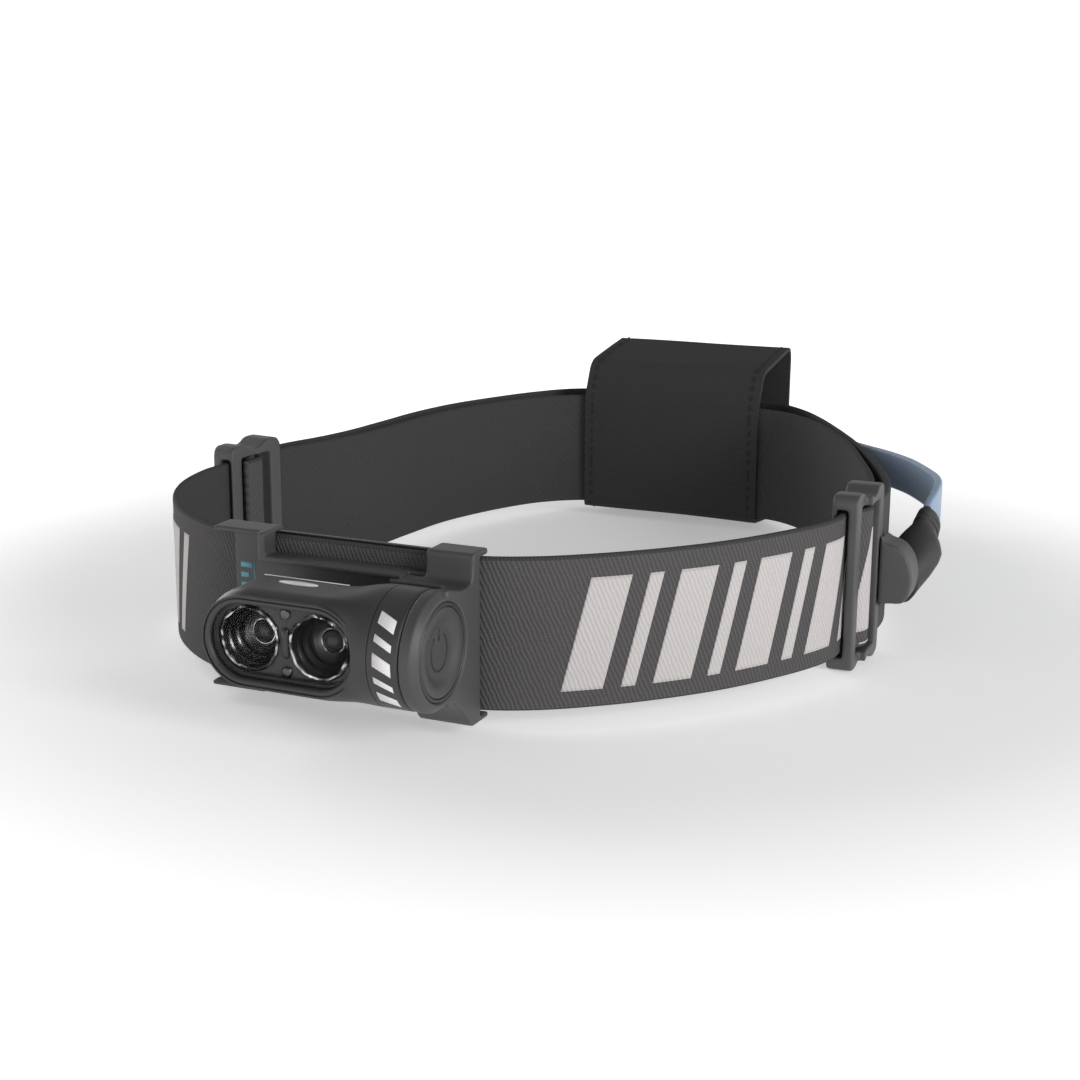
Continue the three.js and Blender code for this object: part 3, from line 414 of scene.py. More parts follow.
def mesh_piece(name, points, faces, material, body=None, uv=None, smooth=True, stands_for=()):
    """A mesh from points in the row frame, in metres. uv gives each point's place on the cloth."""
    data = bpy.data.meshes.new(name)
    data.from_pydata([tuple(p) for p in points], [], faces)
    if uv is not None:
        layer = data.uv_layers.new(name="cloth")
        for loop in data.loops:
            layer.data[loop.index].uv = uv[loop.vertex_index]
    if smooth:
        data.shade_smooth()
    data.materials.append(material.material)
    made = bpy.data.objects.new(name, data)
    bpy.context.scene.collection.objects.link(made)
    if body:
        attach(made, body)
    if stands_for:
        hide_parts(*stands_for)
    return made


def ring_faces(rings, count, closed=False):
    """Quads between rings of points. The last ring joins the first where closed, or both ends are capped."""
    faces = []
    for i in range(rings if closed else rings - 1):
        low, high = i * count, ((i + 1) % rings) * count
        for k in range(count):
            n = (k + 1) % count
            faces.append((low + k, low + n, high + n, high + k))
    if not closed:
        faces.append(tuple(range(count))[::-1])
        faces.append(tuple(range((rings - 1) * count, rings * count)))
    return faces


def outward(made):
    """Turns every face of a closed mesh outwards."""
    work = bmesh.new()
    work.from_mesh(made.data)
    bmesh.ops.recalc_face_normals(work, faces=work.faces)
    work.to_mesh(made.data)
    work.free()
    return made


def settle(made, sharp=32):
    """Bakes an object's modifiers and marks its hard edges."""
    graph = bpy.context.evaluated_depsgraph_get()
    graph.update()
    baked = bpy.data.meshes.new_from_object(made.evaluated_get(graph))
    made.modifiers.clear()
    made.data = baked
    baked.shade_smooth()
    baked.set_sharp_from_angle(angle=math.radians(sharp))


def soften(node):
    """Small moulded radii on a CAD node's edges, with smooth faces between them."""
    node.data.shade_smooth()
    weld = node.modifiers.new("weld", "WELD")
    weld.merge_threshold = 1e-6
    flat = node.modifiers.new("flat", "DECIMATE")
    flat.decimate_type = "DISSOLVE"
    flat.angle_limit = math.radians(0.6)
    edge = node.modifiers.new("edge", "BEVEL")
    edge.width = 0.25 * MM
    edge.segments = 2
    edge.limit_method = "ANGLE"
    edge.angle_limit = math.radians(28)
    edge.use_clamp_overlap = True
    normals = node.modifiers.new("normals", "WEIGHTED_NORMAL")
    normals.keep_sharp = True


def relax(made, rounds):
    calm = made.modifiers.new("calm", "SMOOTH")
    calm.factor = 0.5
    calm.iterations = rounds


def mould(made, voxel, rounds):
    """Rounds a solid all over, as a moulded part: an even skin, relaxed a little."""
    skin = made.modifiers.new("skin", "REMESH")
    skin.mode = "VOXEL"
    skin.voxel_size = voxel * MM
    skin.use_smooth_shade = True
    relax(made, rounds)


class Path:
    """A centripetal Catmull-Rom line through points, measured by its length in millimetres."""

    def __init__(self, points, steps=24):
        given = [np.array([*p, 0.0][:3], float) for p in points]
        whole = [2 * given[0] - given[1], *given, 2 * given[-1] - given[-2]]
        line = []
        for a, b, c, d in zip(whole, whole[1:], whole[2:], whole[3:]):
            line += [self.between(a, b, c, d, k / steps) for k in range(steps)]
        line.append(given[-1])
        self.line = np.array(line)
        gaps = np.linalg.norm(np.diff(self.line, axis=0), axis=1)
        self.run = np.concatenate([[0], np.cumsum(gaps)])
        self.length = float(self.run[-1])

    @staticmethod
    def between(a, b, c, d, share):
        t0, t1, t2 = (math.sqrt(np.linalg.norm(q - p)) for p, q in ((a, b), (b, c), (c, d)))
        m1 = ((b - a) / t0 - (c - a) / (t0 + t1) + (c - b) / t1) * t1
        m2 = ((c - b) / t1 - (d - b) / (t1 + t2) + (d - c) / t2) * t1
        cubic = 2 * b - 2 * c + m1 + m2
        square = -3 * b + 3 * c - 2 * m1 - m2
        return b + share * (m1 + share * (square + share * cubic))

    def point(self, s):
        return np.array([np.interp(s, self.run, self.line[:, k]) for k in range(3)])

    def near(self, x, y):
        """The length at which the line comes nearest to a point seen from above."""
        return float(self.run[np.argmin(np.hypot(self.line[:, 0] - x, self.line[:, 1] - y))])

    def along(self, s):
        step = 0.4
        d = self.point(min(s + step, self.length)) - self.point(max(s - step, 0))
        return d / np.linalg.norm(d)

    def offset(self, s, out, z=None):
        """The point at length s, moved out by a distance to the right of the way."""
        place = self.point(s)
        t = self.along(s)
        right = np.array([t[1], -t[0], 0]) / math.hypot(t[0], t[1])
        place = place + right * out
        return (place[0], place[1], place[2] if z is None else z)


def band_section(half_width, thickness):
    """A webbing's rounded cross-section as (out, up) pairs, anticlockwise."""
    t = thickness / 2
    r = t * 0.9
    reach = half_width - r
    flats = np.linspace(-reach, reach, FLAT_POINTS)
    top = arc(0, reach, t, 0.3, math.pi - 0.3, EDGE_POINTS, r)
    bottom = arc(0, -reach, t, math.pi + 0.3, 2 * math.pi - 0.3, EDGE_POINTS, r)
    return [(t, z) for z in flats] + top + [(-t, z) for z in flats[::-1]] + bottom


def webbing(name, path, materials, stands_for, fine_ends=0):
    """A band on its edge. Its inner face and its edges have their own cloth, and folded ends closer rows."""
    ends = np.arange(0, max(fine_ends, 0.1), 0.35)
    middle = np.arange(fine_ends, path.length - fine_ends, 1.1)
    stations = np.unique(np.concatenate([ends, middle, path.length - ends]))
    section = band_section(BAND_WIDTH / 2, WEBBING)
    count = len(section)
    points, uv = [], []
    for s in stations:
        for out, up in section:
            points.append(at(*path.offset(s, out, BAND_MID + up)))
            uv.append((s, up))
    made = mesh_piece(name, points, ring_faces(len(stations), count), materials["band"], "headband",
                      uv, stands_for=stands_for)
    made.data.materials.append(materials["band_inside"].material)
    made.data.materials.append(materials["rim"].material)
    outer = range(FLAT_POINTS - 1)
    inner = range(FLAT_POINTS + EDGE_POINTS, 2 * FLAT_POINTS + EDGE_POINTS - 1)
    for polygon in made.data.polygons:
        k = min(v % count for v in polygon.vertices[:2])
        if len(polygon.vertices) == 4 and k not in outer:
            polygon.material_index = 1 if k in inner else 2
    return outward(made)


def slanted_bar(name, path, s0, s1, material, low=-13.2, high=12.4, slant=0.26):
    """A thin shape that lies on a band's outer face: a bar whose length leans with its height."""
    across = max(2, int((s1 - s0) / 0.45))
    levels = np.linspace(low, high, 26)
    points, uv = [], []
    for lift in (0.02, 0.09):
        for z in levels:
            for k in range(across + 1):
                s = s0 + (s1 - s0) * k / across + slant * (z - low)
                points.append(at(*path.offset(s, WEBBING / 2 + lift, BAND_MID + z)))
                uv.append((s, z))
    made = sheet_slab(name, points, uv, len(levels), across + 1, material, "headband")


def sheet_slab(name, points, uv, rows, columns, material, body):
    """Two grids of points, below and above, joined round their rim."""
    top = rows * columns
    faces = []
    for i in range(rows - 1):
        for k in range(columns - 1):
            a, b = i * columns + k, i * columns + k + 1
            c, d = b + columns, a + columns
            faces += [(a, b, c, d), (top + d, top + c, top + b, top + a)]
    rim = list(range(columns)) + [i * columns + columns - 1 for i in range(1, rows)]
    rim += [(rows - 1) * columns + k for k in range(columns - 2, -1, -1)]
    rim += [i * columns for i in range(rows - 2, 0, -1)]
    for a, b in zip(rim, rim[1:] + rim[:1]):
        faces.append((a, top + a, top + b, b))
    return outward(mesh_piece(name, points, faces, material, body, uv=uv))


def pill_points(x, z, length, height, count):
    """A pill outline in (x, z), with a number of points on each round end."""
    r = height / 2
    reach = length / 2 - r
    left = arc(x - reach, z, r, math.pi / 2, 1.5 * math.pi, count)
    return left + arc(x + reach, z, r, -math.pi / 2, math.pi / 2, count)


def stack(name, layers, material, body=None, closed=False, stands_for=()):
    """A solid through outlines in (x, z), each at its y. A closed one is a ring that ends where it began."""
    points = [at(x, y, z) for y, outline in layers for x, z in outline]
    faces = ring_faces(len(layers), len(layers[0][1]), closed)
    return outward(mesh_piece(name, points, faces, material, body, stands_for=stands_for))


def turned(name, profile, material, body=None, count=96, closed=False, stands_for=()):
    """A profile of (radius, x) turned about the tilt axis."""
    rings = circle(count)
    points = [at(x, TILT_Y + radius * c, TILT_Z + radius * s) for radius, x in profile for c, s in rings]
    faces = ring_faces(len(profile), count, closed)
    return outward(mesh_piece(name, points, faces, material, body, stands_for=stands_for))


def turned_y(name, profile, x, material, body=None, closed=False, stands_for=()):
    """A profile of (radius, y) turned about a line along Y, through x and the tilt axis."""
    count = 64
    rings = circle(count)
    points = [at(x + radius * c, y, TILT_Z + radius * s) for radius, y in profile for c, s in rings]
    faces = ring_faces(len(profile), count, closed)
    return outward(mesh_piece(name, points, faces, material, body, stands_for=stands_for))


def hard_edges(made, angle=32):
    made.data.set_sharp_from_angle(angle=math.radians(angle))


# ---- lamp -----------------------------------------------------------------------------------------


def lens_end(materials):
    """The pill-shaped end of the lamp as a stack of pill outlines with a rounded front and a round back."""
    layers = []
    for k in range(8, -1, -1):
        a = math.pi / 2 * k / 8
        inset = BODY_CORNER * (1 - math.cos(a))
        layers.append((BODY_FRONT + BODY_CORNER * (1 - math.sin(a)), body_outline(inset)))
    for a in np.linspace(0, math.pi / 2 * 0.97, 16):
        inset = BODY_RADIUS * (1 - math.cos(a))
        layers.append((TILT_Y + BODY_RADIUS * math.sin(a), body_outline(inset)))
    return stack("lens_end", layers, materials["body"])


def body_outline(inset):
    """The lens end's outline in (x, z), moved inwards. Its right end is just past where the flare begins."""
    r = BODY_RADIUS - inset
    left = arc(LAMP_LEFT + BODY_RADIUS, TILT_Z, r, math.pi / 2, 1.5 * math.pi, 28)
    return left + [(FLARE_START + 0.6, TILT_Z + r * k) for k in (-1, 0, 1)]


def body_reach(a):
    """How far the lens end reaches from the tilt axis at an angle: a round back and a boxy front."""
    dy, dz = math.cos(a), math.sin(a)
    if dy >= 0:
        return BODY_RADIUS
    deep, high = TILT_Y - BODY_FRONT, BODY_RADIUS
    reach = min(deep / max(-dy, 1e-6), high / max(abs(dz), 1e-6))
    cy, cz = deep - BODY_CORNER, high - BODY_CORNER
    if -dy * reach > cy and abs(dz) * reach > cz:
        ahead = -dy * cy + abs(dz) * cz
        reach = ahead + math.sqrt(max(0, ahead * ahead - cy * cy - cz * cz + BODY_CORNER ** 2))
    return reach


def drum_end(materials):
    """The flare from the lens end's outline to the round drum, and the drum."""
    angles = 144
    stations = [FLARE_START + (FLARE_END - FLARE_START) * k / 16 for k in range(17)]
    stations += [(FLARE_END + DRUM_END) / 2, DRUM_END - 0.4, DRUM_END]
    points = []
    for x in stations:
        share = ease(min(1, (x - FLARE_START) / (FLARE_END - FLARE_START)))
        inset = 0.35 if x == DRUM_END else 0
        for k in range(angles):
            a = 2 * math.pi * k / angles
            reach = body_reach(a) * (1 - share) + DRUM_RADIUS * share - inset
            points.append(at(x, TILT_Y + reach * math.cos(a), TILT_Z + reach * math.sin(a)))
    return outward(mesh_piece("drum_end", points, ring_faces(len(stations), angles), materials["body"]))


def cut(target, tool, operation="DIFFERENCE"):
    """Boolean of one mesh with another, which is then removed."""
    change = target.modifiers.new("cut", "BOOLEAN")
    change.operation = operation
    change.solver = "EXACT"
    change.object = tool
    settle(target)
    bpy.data.objects.remove(tool)


def lamp_shell(materials):
    """One moulded shell: both ends flow together, then the window, the seam and the screws are cut in."""
    shell = lens_end(materials)
    cut(shell, drum_end(materials), "UNION")
    mould(shell, 0.3, 10)
    settle(shell)
    pocket = window_pills([(WINDOW_PLAY, BODY_FRONT - 5.4), (WINDOW_PLAY, WINDOW_POCKET_BACK)])
    cut(shell, stack("pocket", pocket, materials["plastic"]))
    deep, clear = DRUM_RADIUS - 0.3, DRUM_RADIUS + 1
    left, right = SEAM_X - 0.09, SEAM_X + 0.09
    groove = [(deep, left), (clear, left), (clear, right), (deep, right)]
    cut(shell, turned("groove", groove, materials["plastic"], closed=True, count=120))
    for i, (x, z) in enumerate(screw_places()):
        hole = [(x + SCREW_HOLE * c, z + SCREW_HOLE * s) for c, s in circle(24)]
        cut(shell, stack(f"hole_{i}", [(SCREW_SEAT, hole), (-100, hole)], materials["plastic"]))
    shell.name = "lamp_shell"
    settle(shell, 28)
    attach(shell, "lamp")
    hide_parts("front_housing", "rear_housing", "drum_housing")


def screw_places():
    return [(x, TILT_Z + z) for x in (-20.5, 3.5) for z in (5.2, -5.2)]


def window_pills(profile):
    """The window's outline, grown all round, for each (grow, y)."""
    layers = []
    for grow, y in profile:
        layers.append((y, pill_points(LENS_X, TILT_Z, LENS_LENGTH + 2 * grow, LENS_HEIGHT + 2 * grow, 40)))
    return layers


def window_rim(materials):
    """Raised lip round the window and over its edge, drawn as a rounded ring on the front face."""
    lip = [(1.3, 0.1), (1.22, -0.14), (1.05, -0.2), (0.85, -0.14), (0.78, 0.3), (0.58, 0.3), (0.5, -0.05),
           (0.3, -0.16), (-0.05, -0.08), (-0.4, 0.12), (-0.58, 0.45), (-0.6, 0.9), (0.25, 1.4), (0.25, 3.4),
           (1.3, 3.4)]
    layers = window_pills([(grow, BODY_FRONT + back) for grow, back in lip])
    hard_edges(stack("window_rim", layers, materials["body"], "lamp", closed=True), 50)


def window(materials):
    """Clear cover with rounded edges, in front of the reflectors."""
    layers = window_pills([(-1.1, -126.95), (-0.7, -126.9), (-0.45, -126.7), (-0.45, -126), (-0.7, -125.8),
                           (-1.1, -125.75)])
    stack("cover", layers, materials["glass"], "lamp", stands_for=["lens_window"])


def reflector_places():
    return (LENS_X - CUP_PITCH / 2 - 0.4, LENS_X + CUP_PITCH / 2 - 0.4)


def reflectors(materials):
    """Cups darkened as a painted reflection, with stepped walls, a bright rim that waves, and a dome darkened
    as painted shade over each emitter.
    """
    for side, x in zip(("left", "right"), reflector_places()):
        lip = [(CUP_RADIUS + 0.1, CUP_FRONT + 0.4), (CUP_RADIUS - 0.35, CUP_FRONT + 0.2),
               (CUP_RADIUS - 0.6, CUP_FRONT + 0.5)]
        inside = []
        for k in range(25):
            depth = k / 24
            step = 0.07 if k % 8 < 4 else -0.07
            radius = 2.5 + (CUP_RADIUS - 3.2) * math.sqrt(1 - depth)
            inside.append((radius + step, CUP_FRONT + 0.9 + CUP_DEPTH * depth))
        outside = [(r + 0.75, y) for r, y in inside[::-1]]
        cup = turned_y(f"reflector_cup_{side}", lip + inside + outside, x, materials["chrome"], "lamp",
                       closed=True, stands_for=[f"reflector_{side}"])
        hard_edges(cup, 50)
        steps = [(3, 0.4), (3, -0.6), (2.75, -0.8), (2.5, -0.6), (2.45, 0.4)]
        ring = [(radius, CUP_BOTTOM + back) for radius, back in steps]
        turned_y(f"emitter_ring_{side}", ring, x, materials["glint"], "lamp", closed=True)
        dome = arc(0, CUP_BOTTOM - 0.2, 2.4, 0, -math.pi / 2 * 0.98, 8, 1.7)
        # The dome's dark colour is painted shade over the emitter.
        turned_y(f"emitter_dome_{side}", dome, x, materials["smoked"], "lamp")
        waved_rim(f"cup_halo_{side}", x, materials)


def waved_rim(name, x, materials):
    """A bright rim whose crest waves in and out, so it glints in many places."""
    count, waves = 144, 5
    profile = [(-0.45, 0.3), (-0.35, -0.12), (0, -0.3), (0.35, -0.12), (0.45, 0.3)]
    points = []
    for k in range(count):
        a = 2 * math.pi * k / count
        crest = CUP_RADIUS - 0.2 + 0.1 * math.sin(waves * a) + 0.06 * math.sin(3 * waves * a + 1)
        tall = 1 + 0.5 * math.cos(waves * a)
        for out, back in profile:
            r = crest + out
            points.append(at(x + r * math.cos(a), CUP_FRONT + back * tall, TILT_Z + r * math.sin(a)))
    faces = ring_faces(count, len(profile), True)
    hard_edges(outward(mesh_piece(name, points, faces, materials["glint"], "lamp")), 30)


def bezel(materials):
    """Smoked mask with two round holes and a wall, a pill-shaped rib in the middle and a boss at its ends."""
    plate = stack("smoked_mask", window_pills([(-0.5, CUP_FRONT + 0.4), (-0.5, CUP_FRONT + 1.1)]),
                  materials["bezel"])
    hole = [(CUP_RADIUS - 0.3, -130), (CUP_RADIUS - 0.3, -118)]
    for i, x in enumerate(reflector_places()):
        cut(plate, turned_y(f"cup_hole_{i}", hole, x, materials["bezel"]))
    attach(plate, "lamp")
    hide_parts("bezel")
    wall = [(-0.05, -125.7), (-0.55, -125.7), (-0.75, CUP_FRONT + 0.6), (-0.05, CUP_FRONT + 0.6)]
    layers = window_pills(wall)
    hard_edges(stack("mask_wall", layers, materials["bezel"], "lamp", closed=True))
    rib = upright_pill(TILT_Z, 1.5, 7.2, ((1, 1), (0.1, 0.96), (-0.35, 0.8), (-0.45, 0.5)))
    stack("centre_rib", rib, materials["bezel"], "lamp")
    for i, up in enumerate((-6.4, 6.4)):
        boss = upright_pill(TILT_Z + up, 2.6, 2.8, ((1, 1), (0, 0.9), (-0.2, 0.6)))
        stack(f"web_boss_{i}", boss, materials["chrome"], "lamp")


def upright_pill(z, width, height, steps):
    """A pill that stands upright between the cups, for each (back from the cups' fronts, scale)."""
    layers = []
    for back, scale in steps:
        outline = pill_points(0, 0, height * scale, width * scale, 12)
        layers.append((CUP_FRONT + back, [(LENS_X + across, z + up) for up, across in outline]))
    return layers


def drum_prints(materials):
    """Plain slanted marks round the front of the drum, and a line and an oval on the lamp's top."""
    rows, columns = 3, 8
    slant = math.radians(9)
    for i in range(5):
        middle = math.radians(220 - 20 * i)
        half = math.radians(6.4 if i % 2 == 0 else 3.4)
        points = []
        for radius in (DRUM_RADIUS + 0.02, DRUM_RADIUS + 0.07):
            for r in range(rows):
                share = r / (rows - 1)
                for c in range(columns):
                    a = middle - half + 2 * half * c / (columns - 1) + slant * (share - 0.5)
                    y, z = TILT_Y + radius * math.cos(a), TILT_Z + radius * math.sin(a)
                    points.append(at(15.4 + 4.2 * share, y, z))
        sheet_slab(f"drum_mark_{i}", points, None, rows, columns, materials["white_ink"], "lamp")
    top = TILT_Z + BODY_RADIUS - 0.02
    line = [at(x, y, top + h) for h in (0, 0.1) for y in (-114.9, -114.5) for x in (-19, 2)]
    sheet_slab("top_line", line, None, 2, 2, materials["white_ink"], "lamp")
    oval = [at(-8.5 + 4.8 * c, -118 + 1.3 * s, top + h) for h in (0, 0.1) for c, s in circle(28)]
    outward(mesh_piece("top_oval", oval, ring_faces(2, 28), materials["white_ink"], "lamp"))


def trunnion_and_button(materials):
    """The ring that the cheek turns on, and the dished button with its engraved standby sign."""
    r = TRUNNION_RADIUS + 0.2
    edge = BUTTON_RADIUS + 0.42
    ring = [(r, TRUNNION_X0), (r, 24.9), (r - 0.2, 25.1), (edge + 0.12, 25.1), (edge, 24.98),
            (edge, BUTTON_SKIRT_X), (3, BUTTON_SKIRT_X), (3, TRUNNION_X0)]
    hard_edges(turned("trunnion", ring, materials["body"], "lamp", closed=True))
    face = CHEEK_X1 - 0.12
    rim = BUTTON_RADIUS + 0.3
    profile = [(0.01, face - 1.4), (rim, face - 1.4), (rim, face - 0.25), (rim - 0.12, face - 0.06),
               (rim - 0.4, face), (rim - 1.5, face)]
    for k in range(11):
        share = k / 10
        profile.append((rim - 1.7 - 2.6 * share, face - 0.02 - 0.95 * ease(share)))
    profile += [(3.0, face - 1.02), (0.01, face - 1.04)]
    turned("button_cap", profile, materials["button"], "button", stands_for=["power_button"])
    standby_sign(materials, face - 0.99)


def standby_sign(materials, x):
    """An open ring and a short bar, as thin dark inlays in the dish."""
    ring = arc(0, 0, 3.6, math.radians(125), math.radians(415), 40, 3.6 * 1.15)
    inlay("sign_ring", ring, x, materials)
    inlay("sign_bar", [(0, 5.2), (0, 3.8), (0, 2.4)], x, materials)


def inlay(name, line, x, materials):
    """A flat strip along a line given in (y, z) about the tilt axis."""
    half_width = 0.2
    points = []
    for lift in (-0.1, 0.1):
        for side in (-half_width, half_width):
            for i, (y, z) in enumerate(line):
                before, after = line[max(i - 1, 0)], line[min(i + 1, len(line) - 1)]
                way = Vector((after[0] - before[0], after[1] - before[1])).normalized()
                points.append(at(x + lift, TILT_Y + y - way.y * side, TILT_Z + z + way.x * side))
    sheet_slab(name, points, None, 2, len(line), materials["dark_ink"], "button")


# ---- headband -------------------------------------------------------------------------------------


def slider_local(place):
    """Turns (along, out) about an adjuster into (x, y) about the loop. Out is away from the loop's middle."""
    x, y, turn = place
    a = math.radians(turn)
    if x < 0:
        a += math.pi
    way = Vector((math.cos(a), math.sin(a)))
    out = Vector((way.y, -way.x)) * (1 if x > 0 else -1)
    return lambda u, v: (x + way.x * u + out.x * v, y + way.y * u + out.y * v)


def straps(materials):
    """The front band with its ends folded round the adjusters' middle bars, and the two rear bands."""
    fold = [(-8.2, 0.1), (-5.7, 0.8), (-3.4, 2.7), (-1, 4.1), (1.6, 4.1), (3.4, 2.5), (3.2, -0.3),
            (1.2, -1.9), (-1.2, -2.3), (-3.4, -2.5), (-5.4, -2.7)]
    left, right = slider_local(SLIDER_LEFT), slider_local(SLIDER_RIGHT)
    points = [left(u, v) for u, v in fold[::-1]] + FRONT_PATH[2:-2] + [right(u, v) for u, v in fold]
    front = Path(points)
    webbing("front_webbing", front, materials, ["front_strap"], fine_ends=34)
    webbing("rear_webbing_inner", Path(INNER_PATH), materials, ["rear_strap_inner"])
    webbing("rear_webbing_outer", Path(OUTER_PATH), materials, ["rear_strap_outer"])
    hem = front.near(*right(3.4, 2.5))
    print_row("right", front, front.near(84, -27.6) - 77, hem, materials)
    left_start = front.near(-79, -53)
    print_row("left", front, left_start, left_start + 42, materials)
    slanted_bar("hem_thread", front, hem - 7, hem, materials["pale_thread"], -16.4, -16.05, 0)


def print_row(side, path, start, end, materials):
    """Slanted bars from one length of a band to another, broad and narrow in turn."""
    bar, s = 0, start
    while s < end - 3:
        width = PRINT_WIDTHS[bar % 2]
        slanted_bar(f"print_{side}_{bar}", path, s, min(s + width, end - 1), materials["print"])
        s += width + PRINT_GAP
        bar += 1


def moulded_nodes():
    """Rounded skins for the adjusters, the cable outlet and the bracket."""
    for name in ("slider_left", "slider_right"):
        mould(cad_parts[name], 0.3, 16)
    mould(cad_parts["cable_outlet"], 0.3, 24)
    mould(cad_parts["bracket"], 0.28, 7)


# ---- sleeve ---------------------------------------------------------------------------------------


def sleeve_profile():
    """The sleeve's outline, anticlockwise, with rounded corners: evenly spaced (y, z, length along it)."""
    m = BAND_MID
    corners = [(101.3, m - 18.8), (120, m - 20.6), (135.4, 0), (136, m + 30), (134.4, m + 33), (108, m + 29),
               (105.4, m + 27.2), (101.4, m + 18.4)]
    line = []
    for i, corner in enumerate(corners):
        here = Vector(corner)
        before, after = Vector(corners[i - 1]), Vector(corners[(i + 1) % len(corners)])
        reach = min(1.6, (here - before).length / 2, (here - after).length / 2)
        start = here + (before - here).normalized() * reach
        end = here + (after - here).normalized() * reach
        for t in (0, 0.25, 0.5, 0.75, 1):
            line.append(start * (1 - t) ** 2 + here * 2 * t * (1 - t) + end * t * t)
    closed = line + line[:1]
    run = np.concatenate([[0], np.cumsum([(b - a).length for a, b in zip(closed, closed[1:])])])
    spots = np.linspace(0, run[-1], 160, endpoint=False)
    ys = np.interp(spots, run, [p.x for p in closed])
    zs = np.interp(spots, run, [p.y for p in closed])
    return list(zip(ys, zs, spots))


def sleeve(materials):
    """A wrap of close-woven cloth with slightly uneven faces, open at both ends."""
    profile = sleeve_profile()
    rng = np.random.default_rng(7)
    phases = rng.uniform(0, 2 * math.pi, 12)
    count = len(profile)
    stations = np.linspace(SLEEVE_X0, SLEEVE_X1, 48)
    points, uv = [], []
    for depth in (0.0, SLEEVE_CLOTH):
        for x in (stations if depth == 0 else stations[::-1]):
            for k, (y, z, s) in enumerate(profile):
                before, after = profile[k - 1], profile[(k + 1) % count]
                way = Vector((after[0] - before[0], after[1] - before[1])).normalized()
                sway = sum(math.sin(s / (7 + 3 * j) + x / (9 + 4 * j) + phases[j]) for j in range(4)) * 0.11
                lean = -depth + min(0, sway - 0.2)
                points.append(at(x, y + way.y * lean, max(0.02, z - way.x * lean)))
                uv.append((s, x))
    made = mesh_piece("sleeve_cloth", points, ring_faces(len(stations) * 2, count, True), materials["sleeve"],
                      "headband", uv, stands_for=["sleeve"])
    hard_edges(outward(made), 60)
    sleeve_seams(profile, materials)


def sleeve_seams(profile, materials):
    """A row of stitches inside each open end, all round the wrap."""
    run = profile[-1][2]
    line = [Vector((y, z)) for y, z, _ in profile]
    points, faces = [], []
    for x in (SLEEVE_X0 + 2.6, SLEEVE_X1 - 2.6):
        for s in np.arange(1.0, run - 2, 2.9):
            k = int(s / run * (len(line) - 1))
            here = line[k]
            way = (line[min(k + 2, len(line) - 1)] - here).normalized()
            a = len(points)
            for along in (0, 1.7):
                for aside in (-0.14, 0.14):
                    for lift in (-0.1, 0.14):
                        place = here + way * along + Vector((way.y, -way.x)) * lift
                        points.append(at(x + aside, place.x, max(place.y, 0.02)))
            faces += [(a, a + 1, a + 3, a + 2), (a + 4, a + 6, a + 7, a + 5), (a, a + 4, a + 5, a + 1),
                      (a + 2, a + 3, a + 7, a + 6), (a, a + 2, a + 6, a + 4), (a + 1, a + 5, a + 7, a + 3)]
    outward(mesh_piece("sleeve_stitches", points, faces, materials["thread"], "headband",
                       smooth=False))


# ---- cable ----------------------------------------------------------------------------------------


def cable(materials):
    """The flat cable, on its edge, with rounded corners."""
    path = Path(CABLE_PATH)
    stations = np.linspace(0, path.length, 150)
    corner = 0.75
    x0, z0 = CABLE_THICKNESS / 2 - corner, CABLE_WIDTH / 2 - corner
    section = []
    for k, (x, z) in enumerate(((x0, z0), (-x0, z0), (-x0, -z0), (x0, -z0))):
        section += arc(x, z, corner, math.pi / 2 * k, math.pi / 2 * (k + 1), 6)
    points, uv = [], []
    for s in stations:
        here, way = Vector(path.point(s)), Vector(path.along(s))
        up = (Vector((0, 0, 1)) - way * way.z).normalized()
        out = way.cross(up)
        for a, b in section:
            p = here + out * a + up * b
            points.append(at(*p))
            uv.append((s, b))
    made = mesh_piece("flat_cable", points, ring_faces(len(stations), len(section)), materials["cable"],
                      "headband", uv, stands_for=["battery_cable"])
    hard_edges(outward(made), 50)


def boot(materials):
    """Strain relief, smooth, with ridges at its collar."""
    turn = Vector((0, 1, 0)).rotation_difference(BOOT_AXIS).to_matrix()
    foot = BOOT_TOP - BOOT_AXIS * BOOT_LENGTH
    sections = np.array(BOOT_SECTIONS)
    finer = np.arange(4 * len(sections) - 3) / 4
    widths = [np.interp(finer, np.arange(len(sections)), column) for column in sections.T]
    count = 56
    rings = circle(count)
    points = []
    for along, half_x, half_z in zip(*widths):
        for c, s in rings:
            p = foot + turn @ Vector((half_x * c, along, half_z * s))
            points.append(at(p.x, max(p.y, BOOT_FRONT), p.z))
    made = mesh_piece("strain_relief", points, ring_faces(len(finer), count), materials["rubber"], "headband",
                      stands_for=["cable_boot"])
    outward(made)
    relax(made, 2)
    settle(made, 45)


# ---- bracket markings -----------------------------------------------------------------------------


def plate_marks(materials):
    """A column of plain teal ticks and a fine line on the bracket's left plate."""
    for i in range(6):
        z = BAND_MID + 10.4 - 2.35 * i
        wide = 3.0 if i % 2 == 0 else 2.0
        plate_mark(f"plate_tick_{i}", -33.9, -33.9 + wide, z - 0.62, z + 0.62, materials)
    plate_mark("plate_line", -30.35, -30.2, BAND_MID + 2.4, BAND_MID + 11.4, materials)


def plate_mark(name, x0, x1, z0, z1, materials):
    """A thin block on the plate's face."""
    points = [at(x, y, z) for y in (PLATE_FACE, PLATE_FACE - 0.06) for z in (z0, z1) for x in (x0, x1)]
    sheet_slab(name, points, None, 2, 2, materials["teal_ink"], "headband")


# ---- plain CAD nodes ------------------------------------------------------------------------------


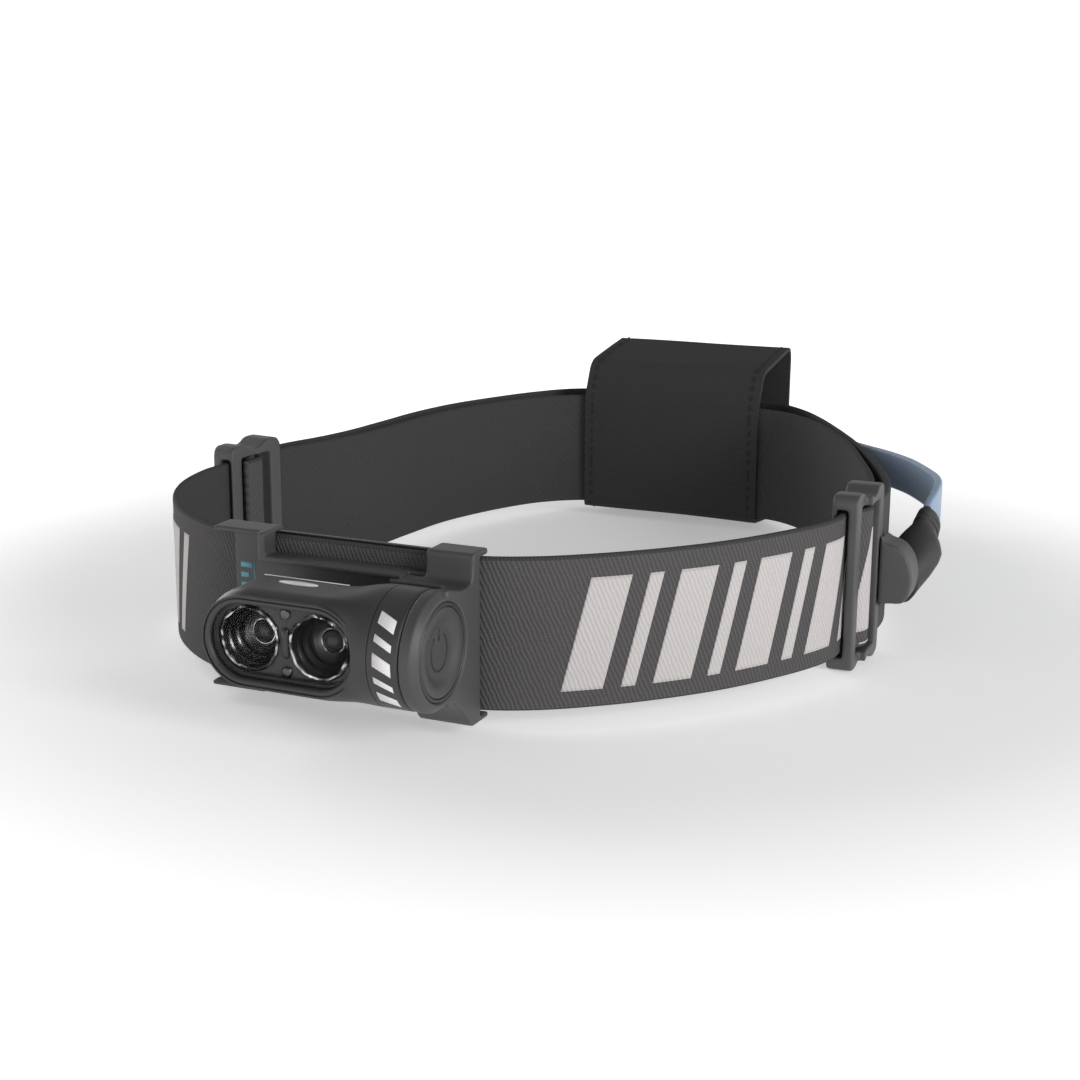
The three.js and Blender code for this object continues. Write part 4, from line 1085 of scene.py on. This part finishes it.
def dress_nodes(materials):
    """Materials and small radii for the CAD nodes that are shown as they are."""
    screws = [f"housing_screw_{k}" for k in range(1, 5)]
    cases = ["backing_plate", "battery_case_inner", "battery_case_outer", "battery_socket", "sleeve_closure"]
    looks = {
        "plastic": ["bracket"],
        "adjuster": ["slider_left", "slider_right", "cable_outlet"],
        "black": ["power_switch", *cases],
        "rubber": ["window_seal", "housing_seal", "battery_seal", "battery_plug", "friction_ring",
                   "band_lead"],
        "steel": screws,
        "aluminium": ["led_board", "heat_sink"],
        "board": ["control_board", "battery_board"],
        "led": ["led_left", "led_right"],
        "foil": ["battery_cell"],
    }
    for look, names in looks.items():
        for name in names:
            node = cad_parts[name]
            node.data.materials.clear()
            node.data.materials.append(materials[look].material)
    for name in (*cases, *screws, "battery_plug"):
        soften(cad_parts[name])


# ---- stage ----------------------------------------------------------------------------------------


def studio(materials):
    """A flat pale floor, a sky that is brightest at the horizon, and two large soft lights."""
    reach = 9.0
    rim = [(reach * c, reach * s, 0) for c, s in circle(96)]
    mesh_piece("floor", rim, [tuple(range(len(rim)))], materials["floor"], smooth=False)
    world = bpy.data.worlds.new("sky")
    bpy.context.scene.world = world
    world.use_nodes = True
    nodes, links = world.node_tree.nodes, world.node_tree.links
    way = nodes.new("ShaderNodeTexCoord")
    split = nodes.new("ShaderNodeSeparateXYZ")
    fade = nodes.new("ShaderNodeMapRange")
    for socket, value in (("From Min", 0.05), ("From Max", 0.75), ("To Min", 1.02), ("To Max", 0.12)):
        fade.inputs[socket].default_value = value
    links.new(way.outputs["Generated"], split.inputs[0])
    links.new(split.outputs["Z"], fade.inputs["Value"])
    links.new(fade.outputs[0], nodes["Background"].inputs["Strength"])
    nodes["Background"].inputs["Color"].default_value = (1, 1, 1, 1)
    lamp_light("key", (1.65, -0.65, 0.62), 17)
    lamp_light("fill", (-1.3, 0.35, 0.5), 8)


def lamp_light(name, place, power):
    """A large round light that faces the headlamp."""
    data = bpy.data.lights.new(name, "AREA")
    data.shape = "DISK"
    data.size = 0.9
    data.energy = power
    made = bpy.data.objects.new(name, data)
    made.location = place
    made.rotation_mode = "QUATERNION"
    made.rotation_quaternion = (Vector((0, 0, 0.02)) - Vector(place)).to_track_quat("-Z", "Y")
    bpy.context.scene.collection.objects.link(made)


def camera():
    """A camera placed by its angles about the middle of the headband, with the headband off its centre."""
    azimuth, elevation, roll = (math.radians(d) for d in (24.02, 14.14, 0.31))
    distance, aside, above = 497.3, -4.6, -3.4
    level = Vector((math.cos(azimuth), math.sin(azimuth), 0))
    flat = math.cos(elevation)
    back = Vector((math.sin(azimuth) * flat, -math.cos(azimuth) * flat, math.sin(elevation)))
    upright = back.cross(level)
    right = level * math.cos(roll) + upright * math.sin(roll)
    up = upright * math.cos(roll) - level * math.sin(roll)
    place = at(0, 0, BAND_MID) + (back * distance + right * aside + up * above) * MM
    data = bpy.data.cameras.new("camera")
    data.lens = 61.67
    data.sensor_width = 36
    data.clip_start = 0.01
    data.clip_end = 20
    made = bpy.data.objects.new("camera", data)
    turn = Matrix((right, up, back)).transposed().to_4x4()
    made.matrix_world = Matrix.Translation(place) @ turn
    bpy.context.scene.collection.objects.link(made)
    bpy.context.scene.camera = made


# ---- the whole ------------------------------------------------------------------------------------

looks = make_materials()
camera()
studio(looks)
bpy.context.scene.view_settings.view_transform = "Standard"
straps(looks)
moulded_nodes()
sleeve(looks)
boot(looks)
cable(looks)
lamp_shell(looks)
window_rim(looks)
window(looks)
reflectors(looks)
bezel(looks)
drum_prints(looks)
trunnion_and_button(looks)
plate_marks(looks)
dress_nodes(looks)
